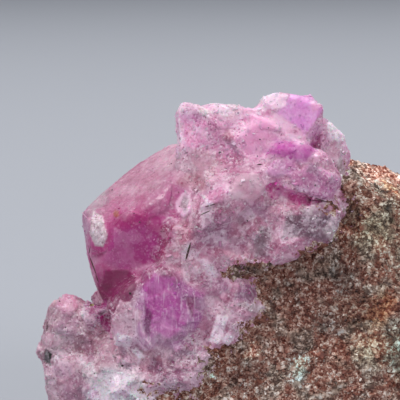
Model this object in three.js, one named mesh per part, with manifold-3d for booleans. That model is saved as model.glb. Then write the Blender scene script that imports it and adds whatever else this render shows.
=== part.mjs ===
// A cobaltoan calcite specimen: pink calcite crystals on a lump of brown, sugary host rock.
// Units are millimetres. X runs to the right, Y runs away from the front, Z runs up.
// The origin is the centre of the specimen's box, on the plane that it rests on.
//
// The host rock is a star-shaped solid: in each direction its surface lies on the nearest of a few
// broken faces. Each crystal is the convex hull of its corners. Crystals that have grown into each
// other are joined into one solid, and neighbouring groups meet across a hairline gap.

import * as THREE from "three";
import { ConvexGeometry } from "three/addons/geometries/ConvexGeometry.js";
import { mergeVertices } from "three/addons/utils/BufferGeometryUtils.js";
import Module from "manifold-3d";

const wasm = await Module();
wasm.setup();

// Driving dimensions.
const GAP = 0.3; // hairline gap between pieces that meet
const ROCK_CENTRE = new THREE.Vector3(4, 1, 22);
const ROCK_DETAIL = 10; // rows of triangles on each face of the icosahedron, less one
const ROCK_BUMPS = [
  { width: 13, height: 1.6 }, // the waviness of a broken face
  { width: 5.5, height: 0.9 }, // the smaller hackly steps on it
];
const ROCK_ROUNDING = 0.016; // how softly one broken face meets the next
const RHOMB_LEAN = 63.7; // angle in degrees between the axis of a calcite rhombohedron and its edges
const WELD = 1e-3; // corners closer than this are one corner

// ---------------------------------------------------------------- solids

// A geometry as a manifold-3d solid.
function solidOf(geometry) {
  const bare = geometry.clone();
  bare.deleteAttribute("normal");
  bare.deleteAttribute("uv");
  const merged = mergeVertices(bare, WELD);
  return new wasm.Manifold(
    new wasm.Mesh({
      numProp: 3,
      vertProperties: new Float32Array(merged.attributes.position.array),
      triVerts: new Uint32Array(merged.index.array),
    }),
  );
}

// A manifold-3d solid as a flat-shaded geometry.
function geometryOf(solid) {
  const mesh = solid.getMesh();
  const geometry = new THREE.BufferGeometry();
  geometry.setAttribute(
    "position",
    new THREE.BufferAttribute(new Float32Array(mesh.vertProperties), 3),
  );
  geometry.setIndex(new THREE.BufferAttribute(new Uint32Array(mesh.triVerts), 1));
  const flat = geometry.toNonIndexed();
  flat.computeVertexNormals();
  return flat;
}

function centreOf(corners) {
  const sum = corners.reduce((total, corner) => total.add(corner), new THREE.Vector3());
  return sum.divideScalar(corners.length);
}

// The same corners, moved outwards by a distance.
function swollen(corners, distance) {
  const centre = centreOf(corners);
  return corners.map((corner) => {
    const outward = corner.clone().sub(centre).normalize();
    return corner.clone().addScaledVector(outward, distance);
  });
}

function joined(cornerSets) {
  return cornerSets
    .map((corners) => solidOf(new ConvexGeometry(corners)))
    .reduce((whole, piece) => whole.add(piece));
}

// ---------------------------------------------------------------- crystals

// A block crystal, seen from the front as an outline of [x, z] corners.
//   front   Y of its front face, at the middle of the outline
//   depth   how far it runs back from there
//   bevel   width of the bevel round the front face
//   lean    how much the front face falls back per mm to the right and per mm up
//   root    size of its back end, as a share of the outline
//   shift   how far the back end is moved, as [x, z]
function block({ outline, front, depth, bevel = 1, lean = [0, 0], root = 0.8, shift = [0, 0] }) {
  const middleX = outline.reduce((sum, [x]) => sum + x, 0) / outline.length;
  const middleZ = outline.reduce((sum, [, z]) => sum + z, 0) / outline.length;
  const faceY = (x, z) => front + lean[0] * (x - middleX) + lean[1] * (z - middleZ);
  return outline.flatMap(([x, z]) => {
    const reach = Math.hypot(x - middleX, z - middleZ);
    const inner = Math.max(0.2, 1 - bevel / reach);
    const faceX = middleX + (x - middleX) * inner;
    const faceZ = middleZ + (z - middleZ) * inner;
    const rootX = middleX + (x - middleX) * root + shift[0];
    const rootZ = middleZ + (z - middleZ) * root + shift[1];
    return [
      new THREE.Vector3(faceX, faceY(faceX, faceZ), faceZ),
      new THREE.Vector3(x, faceY(x, z) + bevel, z),
      new THREE.Vector3(rootX, front + depth, rootZ),
    ];
  });
}

// A cleavage rhombohedron of calcite: a skewed box whose three edges lean equally from one axis.
//   at      its middle, as [x, y, z]
//   edges   the lengths of its three edges
//   axis    the direction of the crystal's axis
//   spin    turn about that axis, in degrees
function rhomb({ at, edges, axis, spin = 0 }) {
  const toAxis = new THREE.Quaternion().setFromUnitVectors(
    new THREE.Vector3(0, 0, 1),
    new THREE.Vector3(...axis).normalize(),
  );
  const lean = THREE.MathUtils.degToRad(RHOMB_LEAN);
  const [a, b, c] = edges.map((length, i) => {
    const around = THREE.MathUtils.degToRad(spin + 120 * i);
    return new THREE.Vector3()
      .setFromSphericalCoords(length / 2, lean, around)
      .applyAxisAngle(new THREE.Vector3(1, 0, 0), Math.PI / 2)
      .applyQuaternion(toAxis);
  });
  const signs = [-1, 1];
  return signs.flatMap((i) =>
    signs.flatMap((j) =>
      signs.map((k) =>
        new THREE.Vector3(...at).addScaledVector(a, i).addScaledVector(b, j).addScaledVector(c, k),
      ),
    ),
  );
}

// A crystal given by its own corners, as [x, y, z].
const facets = (...corners) => corners.map((corner) => new THREE.Vector3(...corner));

// The large crystal that juts out to the left: a frosted upper face, a deep front face, a pointed foot.
const leftCrystal = [
  facets(
    [-25.1, -4, 36.6], [-22.5, -1, 39], [-16.8, 1, 43.6], [-13.5, 2, 45.5], [-11, 2, 46.6],
    [-22.2, -11, 34.4], [-17.7, -13.5, 37.6], [-12.8, -13.8, 40], [-9.5, -11, 44.5],
    [-23.9, -9, 30.7], [-22.5, -11, 26.2], [-21, -10.5, 23.9], [-17.3, -12.5, 26],
    [-14.1, -13.5, 30.5], [-10.5, -13, 36], [-24, 3, 31], [-22, 6, 36], [-19, 6, 24],
    [-12, 7, 43], [-9.5, 3, 46], [-9.5, 6, 31],
  ),
  facets(
    [-24.6, -7.5, 36.9], [-23.4, -10.2, 36.7], [-21.4, -12, 34.8], [-21.6, -12.3, 32.4],
    [-23.4, -11, 32.2], [-24.4, -8, 33], [-20, -6, 34],
  ),
];

// The crown: blocks grown into each other along the top, and rhombs that finish it at the back.
const crownCrystals = [
  // the upright block at the left end
  block({
    outline: [[-10.8, 52], [-9.9, 53.2], [-8, 53], [-2.9, 48.6], [-0.3, 44.4], [-4.6, 40.2], [-8, 38], [-10.4, 39]],
    front: -10.8, depth: 12, bevel: 0.6, lean: [-0.1, 0.16], shift: [0.5, -2],
  }),
  // the pale ridge behind it
  block({
    outline: [[-8.6, 52.2], [-5.4, 53.2], [-3.1, 52.7], [1.1, 52.5], [2, 49.5], [-2.5, 48], [-6.5, 48.6]],
    front: -9.3, depth: 13, bevel: 0.6, lean: [0, 0.5], shift: [0, -2.5],
  }),
  // the big face in the middle
  block({
    outline: [[-3.4, 49], [1.5, 51.2], [5, 50], [8.2, 47], [10, 44.5], [7, 42.4], [2, 41.2], [-1.5, 41.6]],
    front: -12, depth: 14, bevel: 0.7, lean: [0.04, 0.3], shift: [0, -2],
  }),
  // the small white knobs beside the top
  block({
    outline: [[0.6, 52.8], [1.9, 54.1], [3.6, 54.6], [4.2, 53], [2.5, 50.5]],
    front: -7.5, depth: 8, bevel: 0.5, lean: [0, 0.5], shift: [0, -1.5],
  }),
  // the lilac crystal at the top
  block({
    outline: [[2.2, 53.3], [4.3, 54.8], [7.1, 54.2], [10.2, 52.8], [9.9, 50.6], [8, 47.4], [6, 46.2], [3.6, 48.8]],
    front: -9.6, depth: 13, bevel: 0.6, lean: [0.06, 0.36], shift: [-0.5, -2.5],
  }),
  // the pearly rounded end at the right
  block({
    outline: [[9.6, 51], [11.7, 50.2], [13.2, 48.4], [14.2, 45.6], [13.6, 43], [11.5, 41.5], [9, 43.5], [8.4, 48]],
    front: -7.6, depth: 12, bevel: 1.6, lean: [0.25, 0.15], shift: [-1, -1.5],
  }),
  // the lobe that overhangs the recess
  block({
    outline: [[0.5, 43.6], [1.9, 42.4], [4.7, 41.1], [6.9, 41.4], [8.6, 40.4], [11.4, 40.2], [12.8, 43],
      [10.5, 46.5], [7.5, 46.8], [3.5, 45.8]],
    front: -14.2, depth: 12, bevel: 0.8, lean: [0.08, 0.24],
  }),
  // the heart of the crown, which all of them grew from
  block({
    outline: [[-8.5, 50], [4, 50.5], [9.5, 49], [11, 44], [3, 41.5], [-8.5, 41]],
    front: -5.5, depth: 12, bevel: 1, root: 0.9, shift: [0, -2],
  }),
  // rhombs at the back
  rhomb({ at: [-3.5, 6, 44.5], edges: [10, 9, 10], axis: [-0.2, 0.8, 0.5], spin: 20 }),
  rhomb({ at: [2.5, 6, 44.5], edges: [11, 10, 9], axis: [0.1, 0.7, 0.7], spin: 50 }),
  rhomb({ at: [8, 3.5, 44], edges: [9, 9, 8], axis: [0.6, 0.6, 0.5], spin: 80 }),
  rhomb({ at: [-1.5, 7.5, 40.5], edges: [9, 8, 8], axis: [-0.2, 0.95, 0.3], spin: 0 }),
  rhomb({ at: [5.5, 8, 40], edges: [8, 7, 8], axis: [0.3, 0.9, 0.3], spin: 35 }),
];

// The massive calcite below the crown, which the crystals grew from, with the pale slanting band on it.
const massiveCalcite = [
  // the pale slanting band
  block({
    outline: [[-9.2, 35.4], [-8.5, 38.9], [-4, 41.4], [0.3, 44.4], [2.2, 42.2], [1.4, 40.2], [-1.8, 38.5],
      [-5.3, 36.1]],
    front: -16, depth: 12, bevel: 1.1, lean: [0.02, 0.2],
  }),
  // the left part of the mass
  block({
    outline: [[-12.2, 36.5], [-9, 38.5], [-3, 39.2], [1.6, 40], [2, 33], [-0.8, 29.6], [-6, 28.6], [-12, 30.5],
      [-14, 31.5]],
    front: -15.2, depth: 20, bevel: 1.2, lean: [0.03, 0.08], root: 0.9,
  }),
  // the right part, below the recess
  block({
    outline: [[0.5, 38.6], [4, 39.2], [7, 38.6], [12.8, 39.4], [12.8, 37], [11.1, 34], [7.5, 32.2], [1.8, 30.2]],
    front: -15, depth: 14, bevel: 1, lean: [0.04, 0.12],
  }),
  // the floor of the recess
  block({
    outline: [[-1.5, 43], [3, 43], [9, 42], [11, 38], [2, 36], [-2, 38]],
    front: -11, depth: 14, bevel: 1,
  }),
  // the tongue that runs down beside the violet crystals
  block({
    outline: [[-12.4, 31], [-4, 30], [0, 27.5], [0.4, 25], [-1, 22.3], [-2.6, 18.8], [-6, 17.4], [-9.4, 19.4],
      [-9.6, 26]],
    front: -15.4, depth: 11, bevel: 0.9, lean: [0.05, 0.05],
  }),
];

// The violet, striated crystals low on the front.
const violetCrystals = [
  block({
    outline: [[-14.9, 29.6], [-13, 30.8], [-10.6, 29.4], [-9.4, 25.6], [-9, 22.5], [-10.4, 20.3], [-14, 19.2],
      [-15.7, 19.2], [-17.1, 24]],
    front: -17.4, depth: 12, bevel: 0.8, lean: [0.1, 0.1],
  }),
  block({
    outline: [[-9.8, 27.4], [-7, 26.4], [-7.2, 23.4], [-8.7, 21.2], [-9.8, 23]],
    front: -16.6, depth: 8, bevel: 0.6, lean: [0.25, 0],
  }),
];

// The pale tooth between the left crystal and the violet ones.
const toothCrystal = [
  block({
    outline: [[-18.6, 27.4], [-16.2, 28.9], [-16.6, 24], [-15.5, 20.5], [-19.3, 19.6], [-20.9, 24.7]],
    front: -17.2, depth: 12, bevel: 0.6, lean: [-0.08, 0.08],
  }),
];

// The knobbly cluster at the lower left.
const lowerLeftCrystals = [
  block({
    outline: [[-30, 22], [-29.3, 24.4], [-27.3, 25.5], [-25.7, 25.4], [-24.4, 24], [-24, 19], [-26, 16.5],
      [-30.3, 17.5]],
    front: -12.8, depth: 14, bevel: 1.5, lean: [0.05, 0.1], shift: [1, -2.5],
  }),
  block({
    outline: [[-24.8, 23.4], [-23, 24.8], [-21.3, 23.2], [-20, 20.5], [-18.9, 16.8], [-22, 15], [-25, 18]],
    front: -13.6, depth: 13, bevel: 1.2, lean: [-0.1, 0.1], shift: [0, -1.5],
  }),
  block({
    outline: [[-31.2, 18], [-29.8, 19.3], [-28, 18.4], [-27.6, 16.5], [-29.6, 15.3], [-30.9, 16.4]],
    front: -13.6, depth: 8, bevel: 1, lean: [-0.2, 0.1],
  }),
  block({
    outline: [[-30.4, 15.2], [-29.6, 17.6], [-23, 17.6], [-21, 13], [-20.5, 6], [-23.6, 1.6], [-26, 1.6],
      [-28.2, 6.5], [-29.4, 10.5]],
    front: -14, depth: 17, bevel: 1.6, lean: [-0.12, -0.04], shift: [1.5, 0],
  }),
  block({
    outline: [[-23.2, 17.8], [-20.8, 19.3], [-19.1, 18.2], [-18.7, 15.6], [-21, 14.2], [-23.4, 15.4]],
    front: -15.8, depth: 9, bevel: 1.2, lean: [0, 0.15],
  }),
];

// The sugary white patch at the foot of the front.
const whiteCrystals = [
  block({
    outline: [[-23.8, 15.9], [-20.6, 17], [-17.5, 16.2], [-15.7, 13.6], [-17.2, 11.2], [-22, 9.6], [-24.2, 12.4]],
    front: -16.6, depth: 10, bevel: 0.9, lean: [0.05, 0.12],
  }),
  block({
    outline: [[-23, 11.4], [-18, 11.6], [-17.5, 7.5], [-21, 5], [-23.6, 7]],
    front: -15.4, depth: 9, bevel: 1.1, lean: [0, -0.1],
  }),
];

// The clear, cleaved crystals between the white patch and the violet ones.
const cleavedCrystals = [
  block({
    outline: [[-18.8, 19], [-15.3, 20.2], [-12.6, 19], [-11.4, 16.8], [-12, 13.8], [-14.5, 12.4], [-16.5, 14.8],
      [-18.4, 16.8]],
    front: -16.8, depth: 10, bevel: 0.6, lean: [0.1, 0.15], root: 0.9,
  }),
  block({
    outline: [[-14, 18.4], [-9, 20.4], [-6.2, 17.4], [-8.2, 14.4], [-11, 13], [-13.6, 13.2]],
    front: -17.2, depth: 10, bevel: 0.6, lean: [0.06, 0.1], root: 0.9,
  }),
  // the one deep in the hollow beside the tooth
  block({
    outline: [[-21.6, 23.5], [-18, 23], [-14.5, 19], [-15.5, 14.5], [-20.5, 13.5], [-21.4, 18]],
    front: -12.6, depth: 10, bevel: 0.6, lean: [0, 0.1],
  }),
];

// The rhombs on the left flank, behind the crystals that show from the front.
const flankCrystals = [
  rhomb({ at: [-13, 6, 37], edges: [10, 9, 10], axis: [-0.6, 0.75, 0.4], spin: 10 }),
  rhomb({ at: [-16.5, 5, 30.5], edges: [10, 10, 9], axis: [-0.8, 0.6, 0.1], spin: 65 }),
  rhomb({ at: [-16.5, 2, 23.5], edges: [9, 9, 10], axis: [-0.85, 0.3, 0.2], spin: 30 }),
  rhomb({ at: [-20.5, 4, 16.5], edges: [9, 10, 9], axis: [-0.7, 0.7, 0.2], spin: 90 }),
  rhomb({ at: [-22, 3.5, 10], edges: [9, 9, 9], axis: [-0.8, 0.6, -0.2], spin: 45 }),
  rhomb({ at: [-16, 9.5, 24], edges: [8, 8, 8], axis: [-0.4, 0.9, 0.1], spin: 15 }),
];

// ---------------------------------------------------------------- host rock

// The broken faces of the host rock: an outward direction, and the distance from ROCK_CENTRE.
const ROCK_FACES = [
  { towards: [0.04, -1, 0.15], distance: 15 }, // front
  { towards: [0.75, -1, 0.35], distance: 23.5 },
  { towards: [0.45, -1, -0.75], distance: 24 },
  { towards: [-0.35, -1, -0.9], distance: 25 },
  { towards: [0.4, -0.1, 0.92], distance: 24 }, // top, falling away to the right
  { towards: [0.9, -0.3, 0.5], distance: 28.6 },
  { towards: [0.75, 0.5, 0.6], distance: 28 },
  { towards: [1, 0.12, -0.16], distance: 26.6 }, // right
  { towards: [0.8, 0.8, -0.15], distance: 27 },
  { towards: [0.12, 1, -0.06], distance: 18.5 }, // back
  { towards: [-0.15, 0.95, 0.4], distance: 19.5 },
  { towards: [-0.75, 0.9, 0], distance: 25 },
  { towards: [-0.1, 0.55, 0.85], distance: 19.5 },
  { towards: [-0.6, -0.35, 0.72], distance: 12.6 }, // the face that the calcite grew on
  { towards: [-1, 0.1, 0.25], distance: 26.5 }, // left foot
  { towards: [-0.75, -0.7, -0.35], distance: 29 },
  { towards: [-0.2, 0.75, -0.75], distance: 29 },
  { towards: [0.8, 0.1, -0.75], distance: 33 },
].map(({ towards, distance }) => ({ towards: new THREE.Vector3(...towards).normalize(), distance }));

// Where slabs have broken off the host rock and left a ledge: the corners of each slab.
const ROCK_CHIPS = [
  // off the top right, from front to back
  facets(
    [25.5, -30, 31], [24, 40, 28.5], [60, -30, 27], [60, 40, 25],
    [23, -30, 60], [21, 40, 60], [60, -30, 60], [60, 40, 60],
  ),
  // off the upper half of the back
  facets(
    [-10, 15.5, 21], [60, 12, 15.5], [-10, 60, 17], [60, 60, 13],
    [-10, 13.5, 60], [60, 8, 60], [-10, 60, 60], [60, 60, 60],
  ),
  // off the foot at the front right
  facets(
    [9, -13.8, 8.5], [60, -9, 11], [9, -60, 6.5], [60, -60, 8],
    [12, -13, -10], [60, -8, -10], [12, -60, -10], [60, -60, -10],
  ),
  // off the foot at the back left
  facets(
    [-9, 13, -10], [-60, 2, -10], [-9, 60, -10], [-60, 60, -10],
    [-11, 12, 15], [-60, 3, 19], [-11, 60, 13], [-60, 60, 17],
  ),
];

// A number from 0 to 1 that is always the same for the same whole-number place.
function hash(x, y, z) {
  const mixed = Math.sin(x * 127.1 + y * 311.7 + z * 74.7) * 43758.5453;
  return mixed - Math.floor(mixed);
}

// Smooth noise from -1 to 1, with one value at each whole-number place.
function noise(x, y, z) {
  const cell = [x, y, z].map(Math.floor);
  const ease = [x, y, z].map((value, axis) => THREE.MathUtils.smoothstep(value - cell[axis], 0, 1));
  let sum = 0;
  for (let corner = 0; corner < 8; corner += 1) {
    const step = [corner & 1, (corner >> 1) & 1, (corner >> 2) & 1];
    const weight = step.reduce((w, on, axis) => w * (on ? ease[axis] : 1 - ease[axis]), 1);
    sum += weight * hash(cell[0] + step[0], cell[1] + step[1], cell[2] + step[2]);
  }
  return 2 * sum - 1;
}

// Distance from the rock's centre to its surface: the nearest broken face, with the edges eased.
function rockRadius(direction) {
  const power = 1 / ROCK_ROUNDING;
  const crowd = ROCK_FACES.reduce((sum, { towards, distance }) => {
    const facing = direction.dot(towards);
    return facing > 0 ? sum + (facing / distance) ** power : sum;
  }, 0);
  return crowd ** (-1 / power);
}

function hostRock() {
  const geometry = new THREE.IcosahedronGeometry(1, ROCK_DETAIL);
  const places = geometry.getAttribute("position");
  const direction = new THREE.Vector3();
  for (let i = 0; i < places.count; i += 1) {
    direction.fromBufferAttribute(places, i).normalize();
    const smooth = direction.clone().multiplyScalar(rockRadius(direction));
    const bumps = ROCK_BUMPS.reduce((sum, { width, height }) => {
      const at = smooth.clone().divideScalar(width);
      return sum + height * noise(at.x, at.y, at.z);
    }, 0);
    const place = smooth.addScaledVector(direction, bumps).add(ROCK_CENTRE);
    places.setXYZ(i, place.x, place.y, place.z);
  }
  // The foot is broken off flat.
  return solidOf(geometry).subtract(joined(ROCK_CHIPS)).trimByPlane([0, 0, 1], 0);
}

// ---------------------------------------------------------------- the specimen

const FINISHES = {
  paleCalcite: { color: "#d9a9c6", roughness: 0.4 },
  deepCalcite: { color: "#a04c86", roughness: 0.35 },
  violetCalcite: { color: "#9b4593", roughness: 0.35 },
  whiteCalcite: { color: "#e6d6de", roughness: 0.5 },
  rock: { color: "#7d5f55", roughness: 0.9 },
};

// Groups in the order in which they keep their full shape: each is cut back from those before it.
const GROUPS = [
  { name: "crown_crystals", crystals: crownCrystals, finish: "paleCalcite" },
  { name: "violet_crystals", crystals: violetCrystals, finish: "violetCalcite" },
  { name: "tooth_crystal", crystals: toothCrystal, finish: "paleCalcite" },
  { name: "left_crystal", crystals: leftCrystal, finish: "deepCalcite" },
  { name: "lower_left_crystals", crystals: lowerLeftCrystals, finish: "paleCalcite" },
  { name: "white_crystals", crystals: whiteCrystals, finish: "whiteCalcite" },
  { name: "cleaved_crystals", crystals: cleavedCrystals, finish: "paleCalcite" },
  { name: "massive_calcite", crystals: massiveCalcite, finish: "paleCalcite" },
  { name: "flank_crystals", crystals: flankCrystals, finish: "paleCalcite" },
];

// The outer skin of a solid's largest body, which leaves out slivers and sealed hollows.
function largestBody(solid) {
  return solid.decompose().reduce((best, body) => (body.volume() > best.volume() ? body : best));
}

function meshOf(name, solid, finish) {
  const material = new THREE.MeshStandardMaterial({ ...FINISHES[finish], metalness: 0, flatShading: true });
  const mesh = new THREE.Mesh(geometryOf(solid), material);
  mesh.name = name;
  return mesh;
}

function buildSpecimen() {
  const specimen = new THREE.Group();
  let taken = null; // everything placed so far, swollen by the gap
  for (const { name, crystals, finish } of GROUPS) {
    const whole = joined(crystals);
    const kept = largestBody(taken ? whole.subtract(taken) : whole);
    specimen.add(meshOf(name, kept, finish));
    const clearance = joined(crystals.map((corners) => swollen(corners, GAP * Math.sqrt(3))));
    taken = taken ? taken.add(clearance) : clearance;
  }
  specimen.add(meshOf("host_rock", largestBody(hostRock().subtract(taken)), "rock"));
  return specimen;
}

const specimen = buildSpecimen();

// Put the origin at the middle of the specimen's box, on the plane that it rests on.
const box = new THREE.Box3().setFromObject(specimen);
const middle = box.getCenter(new THREE.Vector3());
for (const mesh of specimen.children) mesh.position.set(-middle.x, -middle.y, -box.min.z);

export default specimen;
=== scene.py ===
# %% [markdown]
# # A cobaltoan calcite specimen
# Cobaltoan calcite is common calcite that a little cobalt has stained pink to magenta. This specimen
# is a crust of grown-together crystals on a broken lump of brown, sugary host rock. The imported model
# gives every group of crystals as a plain faceted solid. This lesson gives each of them its real
# skin: soft frosted faces, broken cleavage steps, and colour that runs through the stone.

import math

import bmesh
import bpy
import numpy as np
from mathutils import Matrix, Vector, noise
from mathutils.bvhtree import BVHTree


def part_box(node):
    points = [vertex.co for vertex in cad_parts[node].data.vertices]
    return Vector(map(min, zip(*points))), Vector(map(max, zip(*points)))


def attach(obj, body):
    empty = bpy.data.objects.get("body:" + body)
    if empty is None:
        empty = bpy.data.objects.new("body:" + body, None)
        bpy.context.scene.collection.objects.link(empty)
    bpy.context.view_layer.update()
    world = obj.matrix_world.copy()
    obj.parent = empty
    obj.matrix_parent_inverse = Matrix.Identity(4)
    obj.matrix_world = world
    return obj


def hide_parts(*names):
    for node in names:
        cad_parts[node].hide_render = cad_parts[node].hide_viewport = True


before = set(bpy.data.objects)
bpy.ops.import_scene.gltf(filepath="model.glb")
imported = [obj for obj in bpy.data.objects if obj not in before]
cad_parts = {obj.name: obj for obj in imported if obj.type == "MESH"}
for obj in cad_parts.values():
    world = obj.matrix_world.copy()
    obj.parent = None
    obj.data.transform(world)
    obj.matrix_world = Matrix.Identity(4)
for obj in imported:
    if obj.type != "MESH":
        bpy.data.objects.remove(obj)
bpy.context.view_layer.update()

# %% [markdown]
# ## Working in millimetres
# The frame is in metres, and a crystal's surface is a matter of tenths of a millimetre. Noise and
# remeshing are easier to think about in millimetres, so all shaping is done there, on copies of the
# nodes' meshes, and the finished skins are scaled back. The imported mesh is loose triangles, so its
# corners are merged first.

# %% A node's solid in millimetres
MM = 0.001


def node_solid(name):
    """The node's solid as a bmesh in millimetres, its corners merged."""
    solid = bmesh.new()
    solid.from_mesh(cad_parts[name].data)
    solid.transform(Matrix.Scale(1 / MM, 4))
    bmesh.ops.remove_doubles(solid, verts=solid.verts, dist=0.002)
    solid.normal_update()
    return solid


def mesh_of(solid, name):
    mesh = bpy.data.meshes.new(name)
    solid.to_mesh(mesh)
    solid.free()
    return mesh

# %% [markdown]
# ## Young rhombs on the old faces
# Calcite cleaves and grows as rhombohedra: skewed boxes whose faces meet at 75 and 105 degrees. The
# big faces carry many small ones, sunk to different depths and nearly parallel, because they grew on
# the lattice of the crystal beneath. A unit cube becomes a rhomb when its three edges lean 63.7
# degrees from one axis, so one matrix makes each of them.

# %% A rhomb's matrix, and a crowd of rhombs on a solid
RHOMB_LEAN = math.radians(63.7)
UP_AND_OUT = Vector((-0.35, -0.5, 0.8))


def rhomb_matrix(at, edges, axis, spin):
    to_axis = Vector(axis).to_track_quat("Z", "Y").to_matrix()
    columns = []
    for turn, length in zip((0, 120, 240), edges):
        around = math.radians(spin + turn)
        lean = Vector((
            math.sin(RHOMB_LEAN) * math.cos(around),
            math.sin(RHOMB_LEAN) * math.sin(around),
            math.cos(RHOMB_LEAN),
        ))
        columns.append(to_axis @ lean * length)
    return Matrix.Translation(at) @ Matrix(columns).transposed().to_4x4()


def places_on(solid, count, luck):
    """Random places on the solid's faces, each with the way out of the stone."""
    faces = [face for face in solid.faces if face.calc_center_median().z > 3]
    areas = np.array([face.calc_area() for face in faces])
    places = []
    for index in luck.choice(len(faces), size=count, p=areas / areas.sum()):
        corners = [vertex.co for vertex in faces[index].verts]
        shares = luck.dirichlet(np.ones(len(corners)))
        place = sum((corner * share for corner, share in zip(corners, shares)), Vector())
        places.append((place, faces[index].normal.copy()))
    return places


def add_rhomb(solid, place, outward, edge, spin, luck, tilt=0.15):
    """Sinks a rhomb into the solid at this place, a few degrees off the common direction."""
    size = edge * luck.uniform(0.5, 1.3)
    edges = size * luck.uniform(0.7, 1.3, 3)
    at = place - outward * size * luck.uniform(0.3, 0.55)
    leaning = UP_AND_OUT.normalized() + Vector(luck.normal(0, tilt, 3))
    turned = spin + luck.normal(0, 60 * tilt)
    bmesh.ops.create_cube(solid, size=1, matrix=rhomb_matrix(at, edges, leaning, turned))


#                         count edge mm, turn
YOUNG_RHOMBS = {
    "crown_crystals":      (25, 2.0, 20),
    "massive_calcite":     (40, 2.0, 50),
    "lower_left_crystals": (45, 2.4, 0),
    "white_crystals":      (30, 1.6, 0),
    "cleaved_crystals":    (30, 2.0, 30),
    "flank_crystals":      (60, 2.6, 30),
}

solids = {name: node_solid(name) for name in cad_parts}
luck = np.random.default_rng(1)
for name, (count, edge, spin) in YOUNG_RHOMBS.items():
    for place, outward in places_on(solids[name], count, luck):
        add_rhomb(solids[name], place, outward, edge, spin, luck)
print("young rhombs:", sum(count for count, *_ in YOUNG_RHOMBS.values()))

# %% [markdown]
# ## The border with the host rock
# Where the crust meets the rock there is no line. Shards of calcite stick into the rock, and lumps of
# rock sit on the calcite. So the places are found where a crystal's open face runs along the rock, and
# rhombs and lumps are set there in turn. A place is open if nothing lies in front of it.

# %% Shards and lumps along the border
BORDER_REACH = 1.3
BORDER_TRIES = 1500
SHARD_EDGE = 2.6
crystal_names = [name for name in solids if name != "host_rock"]


def is_open(place, outward, trees):
    start = place + 0.5 * outward
    return all(tree.ray_cast(start, outward, 9)[0] is None for tree in trees)


trees = {name: BVHTree.FromBMesh(solid) for name, solid in solids.items()}
border = []
for name in crystal_names:
    for place, outward in places_on(solids[name], BORDER_TRIES, luck):
        near = trees["host_rock"].find_nearest(place, BORDER_REACH)[0] is not None
        if near and is_open(place, outward, trees.values()):
            border.append((name, place, outward))
for turn, (name, place, outward) in enumerate(border):
    if turn % 4 == 0:
        add_rhomb(solids[name], place, outward, SHARD_EDGE, luck.uniform(0, 120), luck, 0.6)
    elif turn % 4 == 1 and name != "white_crystals":
        squash = Matrix.Diagonal((*luck.uniform(0.6, 1.4, 3), 1))
        at = Matrix.Translation(place - outward * 0.5)
        bmesh.ops.create_icosphere(solids["host_rock"], subdivisions=1, radius=luck.uniform(0.5, 1.1),
                                   matrix=at @ squash)
print("border:", len(border), "places")

# Knots that fill hollows: share of the node's box across, deep and up, and radius in millimetres.
KNOTS = [
    ("massive_calcite", 0.55, 0.20, 0.50, 2.4),
    ("massive_calcite", 0.65, 0.25, 0.85, 2.0),
    ("massive_calcite", 0.75, 0.25, 0.85, 2.0),
    ("crown_crystals", 0.60, 0.10, 0.60, 2.0),
    ("crown_crystals", 0.70, 0.10, 0.60, 2.0),
    ("crown_crystals", 0.25, 0.10, 0.40, 2.2),
    ("crown_crystals", 0.35, 0.10, 0.45, 2.2),
    ("crown_crystals", 0.45, 0.10, 0.50, 2.0),
]
for name, across, deep, up, radius in KNOTS:
    low, high = (Vector(corner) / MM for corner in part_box(name))
    share = Vector((across, deep, up))
    place = Vector(a + s * (b - a) for a, b, s in zip(low, high, share))
    bmesh.ops.create_icosphere(solids[name], subdivisions=2, radius=radius,
                               matrix=Matrix.Translation(place))
for solid in solids.values():
    solid.normal_update()

# %% [markdown]
# ## One skin over everything
# The crystals grew into one another, so nothing shows a clean joint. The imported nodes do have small
# gaps between them. All of them together, swollen by a third of a millimetre, make one closed skin
# without gaps. It serves as the mould that every node's own piece is drawn onto.

# %% Voxel remeshing and the mould
CREASE_SWELL = 0.35
MOULD_VOXEL = 0.35


def with_modifier(mesh, kind, **settings):
    """The mesh that one modifier makes of this mesh."""
    holder = bpy.data.objects.new("holder", mesh)
    bpy.context.collection.objects.link(holder)
    modifier = holder.modifiers.new(kind, kind)
    for name, value in settings.items():
        setattr(modifier, name, value)
    shape = holder.evaluated_get(bpy.context.evaluated_depsgraph_get())
    result = bpy.data.meshes.new_from_object(shape)
    bpy.data.objects.remove(holder)
    bpy.data.meshes.remove(mesh)
    return result


def swollen_mesh(solids, swell, name):
    """One mesh of these solids, each moved outwards by swell."""
    gathered = bmesh.new()
    for solid in solids:
        part = solid.copy()
        for vertex in part.verts:
            vertex.co += vertex.normal * swell
        gathered.from_mesh(mesh_of(part, name))
    return mesh_of(gathered, name)


mould = with_modifier(swollen_mesh(solids.values(), CREASE_SWELL, "mould"), "REMESH",
                      mode="VOXEL", voxel_size=MOULD_VOXEL)
print("mould:", len(mould.polygons), "faces")

# %% [markdown]
# ## Which crystal is it here?
# Relief and colour both depend on whose crystal a point belongs to, and crystals pass into one another
# over half a millimetre or so. The line is ragged where broken stone meets rock, and straight where
# clean faces meet. So every point gets a share of each node, which falls off with the distance to that
# node's solid.

# %% Shares of the nodes
NODE_NAMES = list(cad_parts)
SHARE_WIDTH = 0.35
SHARE_REACH = 3.0
#                      ragged, in millimetres
RAGGED = {
    "left_crystal":        0.4,
    "crown_crystals":      0.6,
    "massive_calcite":     0.7,
    "violet_crystals":     0.25,
    "tooth_crystal":       0.1,
    "lower_left_crystals": 0.7,
    "white_crystals":      0.8,
    "cleaved_crystals":    0.7,
    "flank_crystals":      0.7,
    "host_rock":           1.1,
}
node_trees = {name: BVHTree.FromBMesh(solids[name]) for name in NODE_NAMES}


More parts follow.
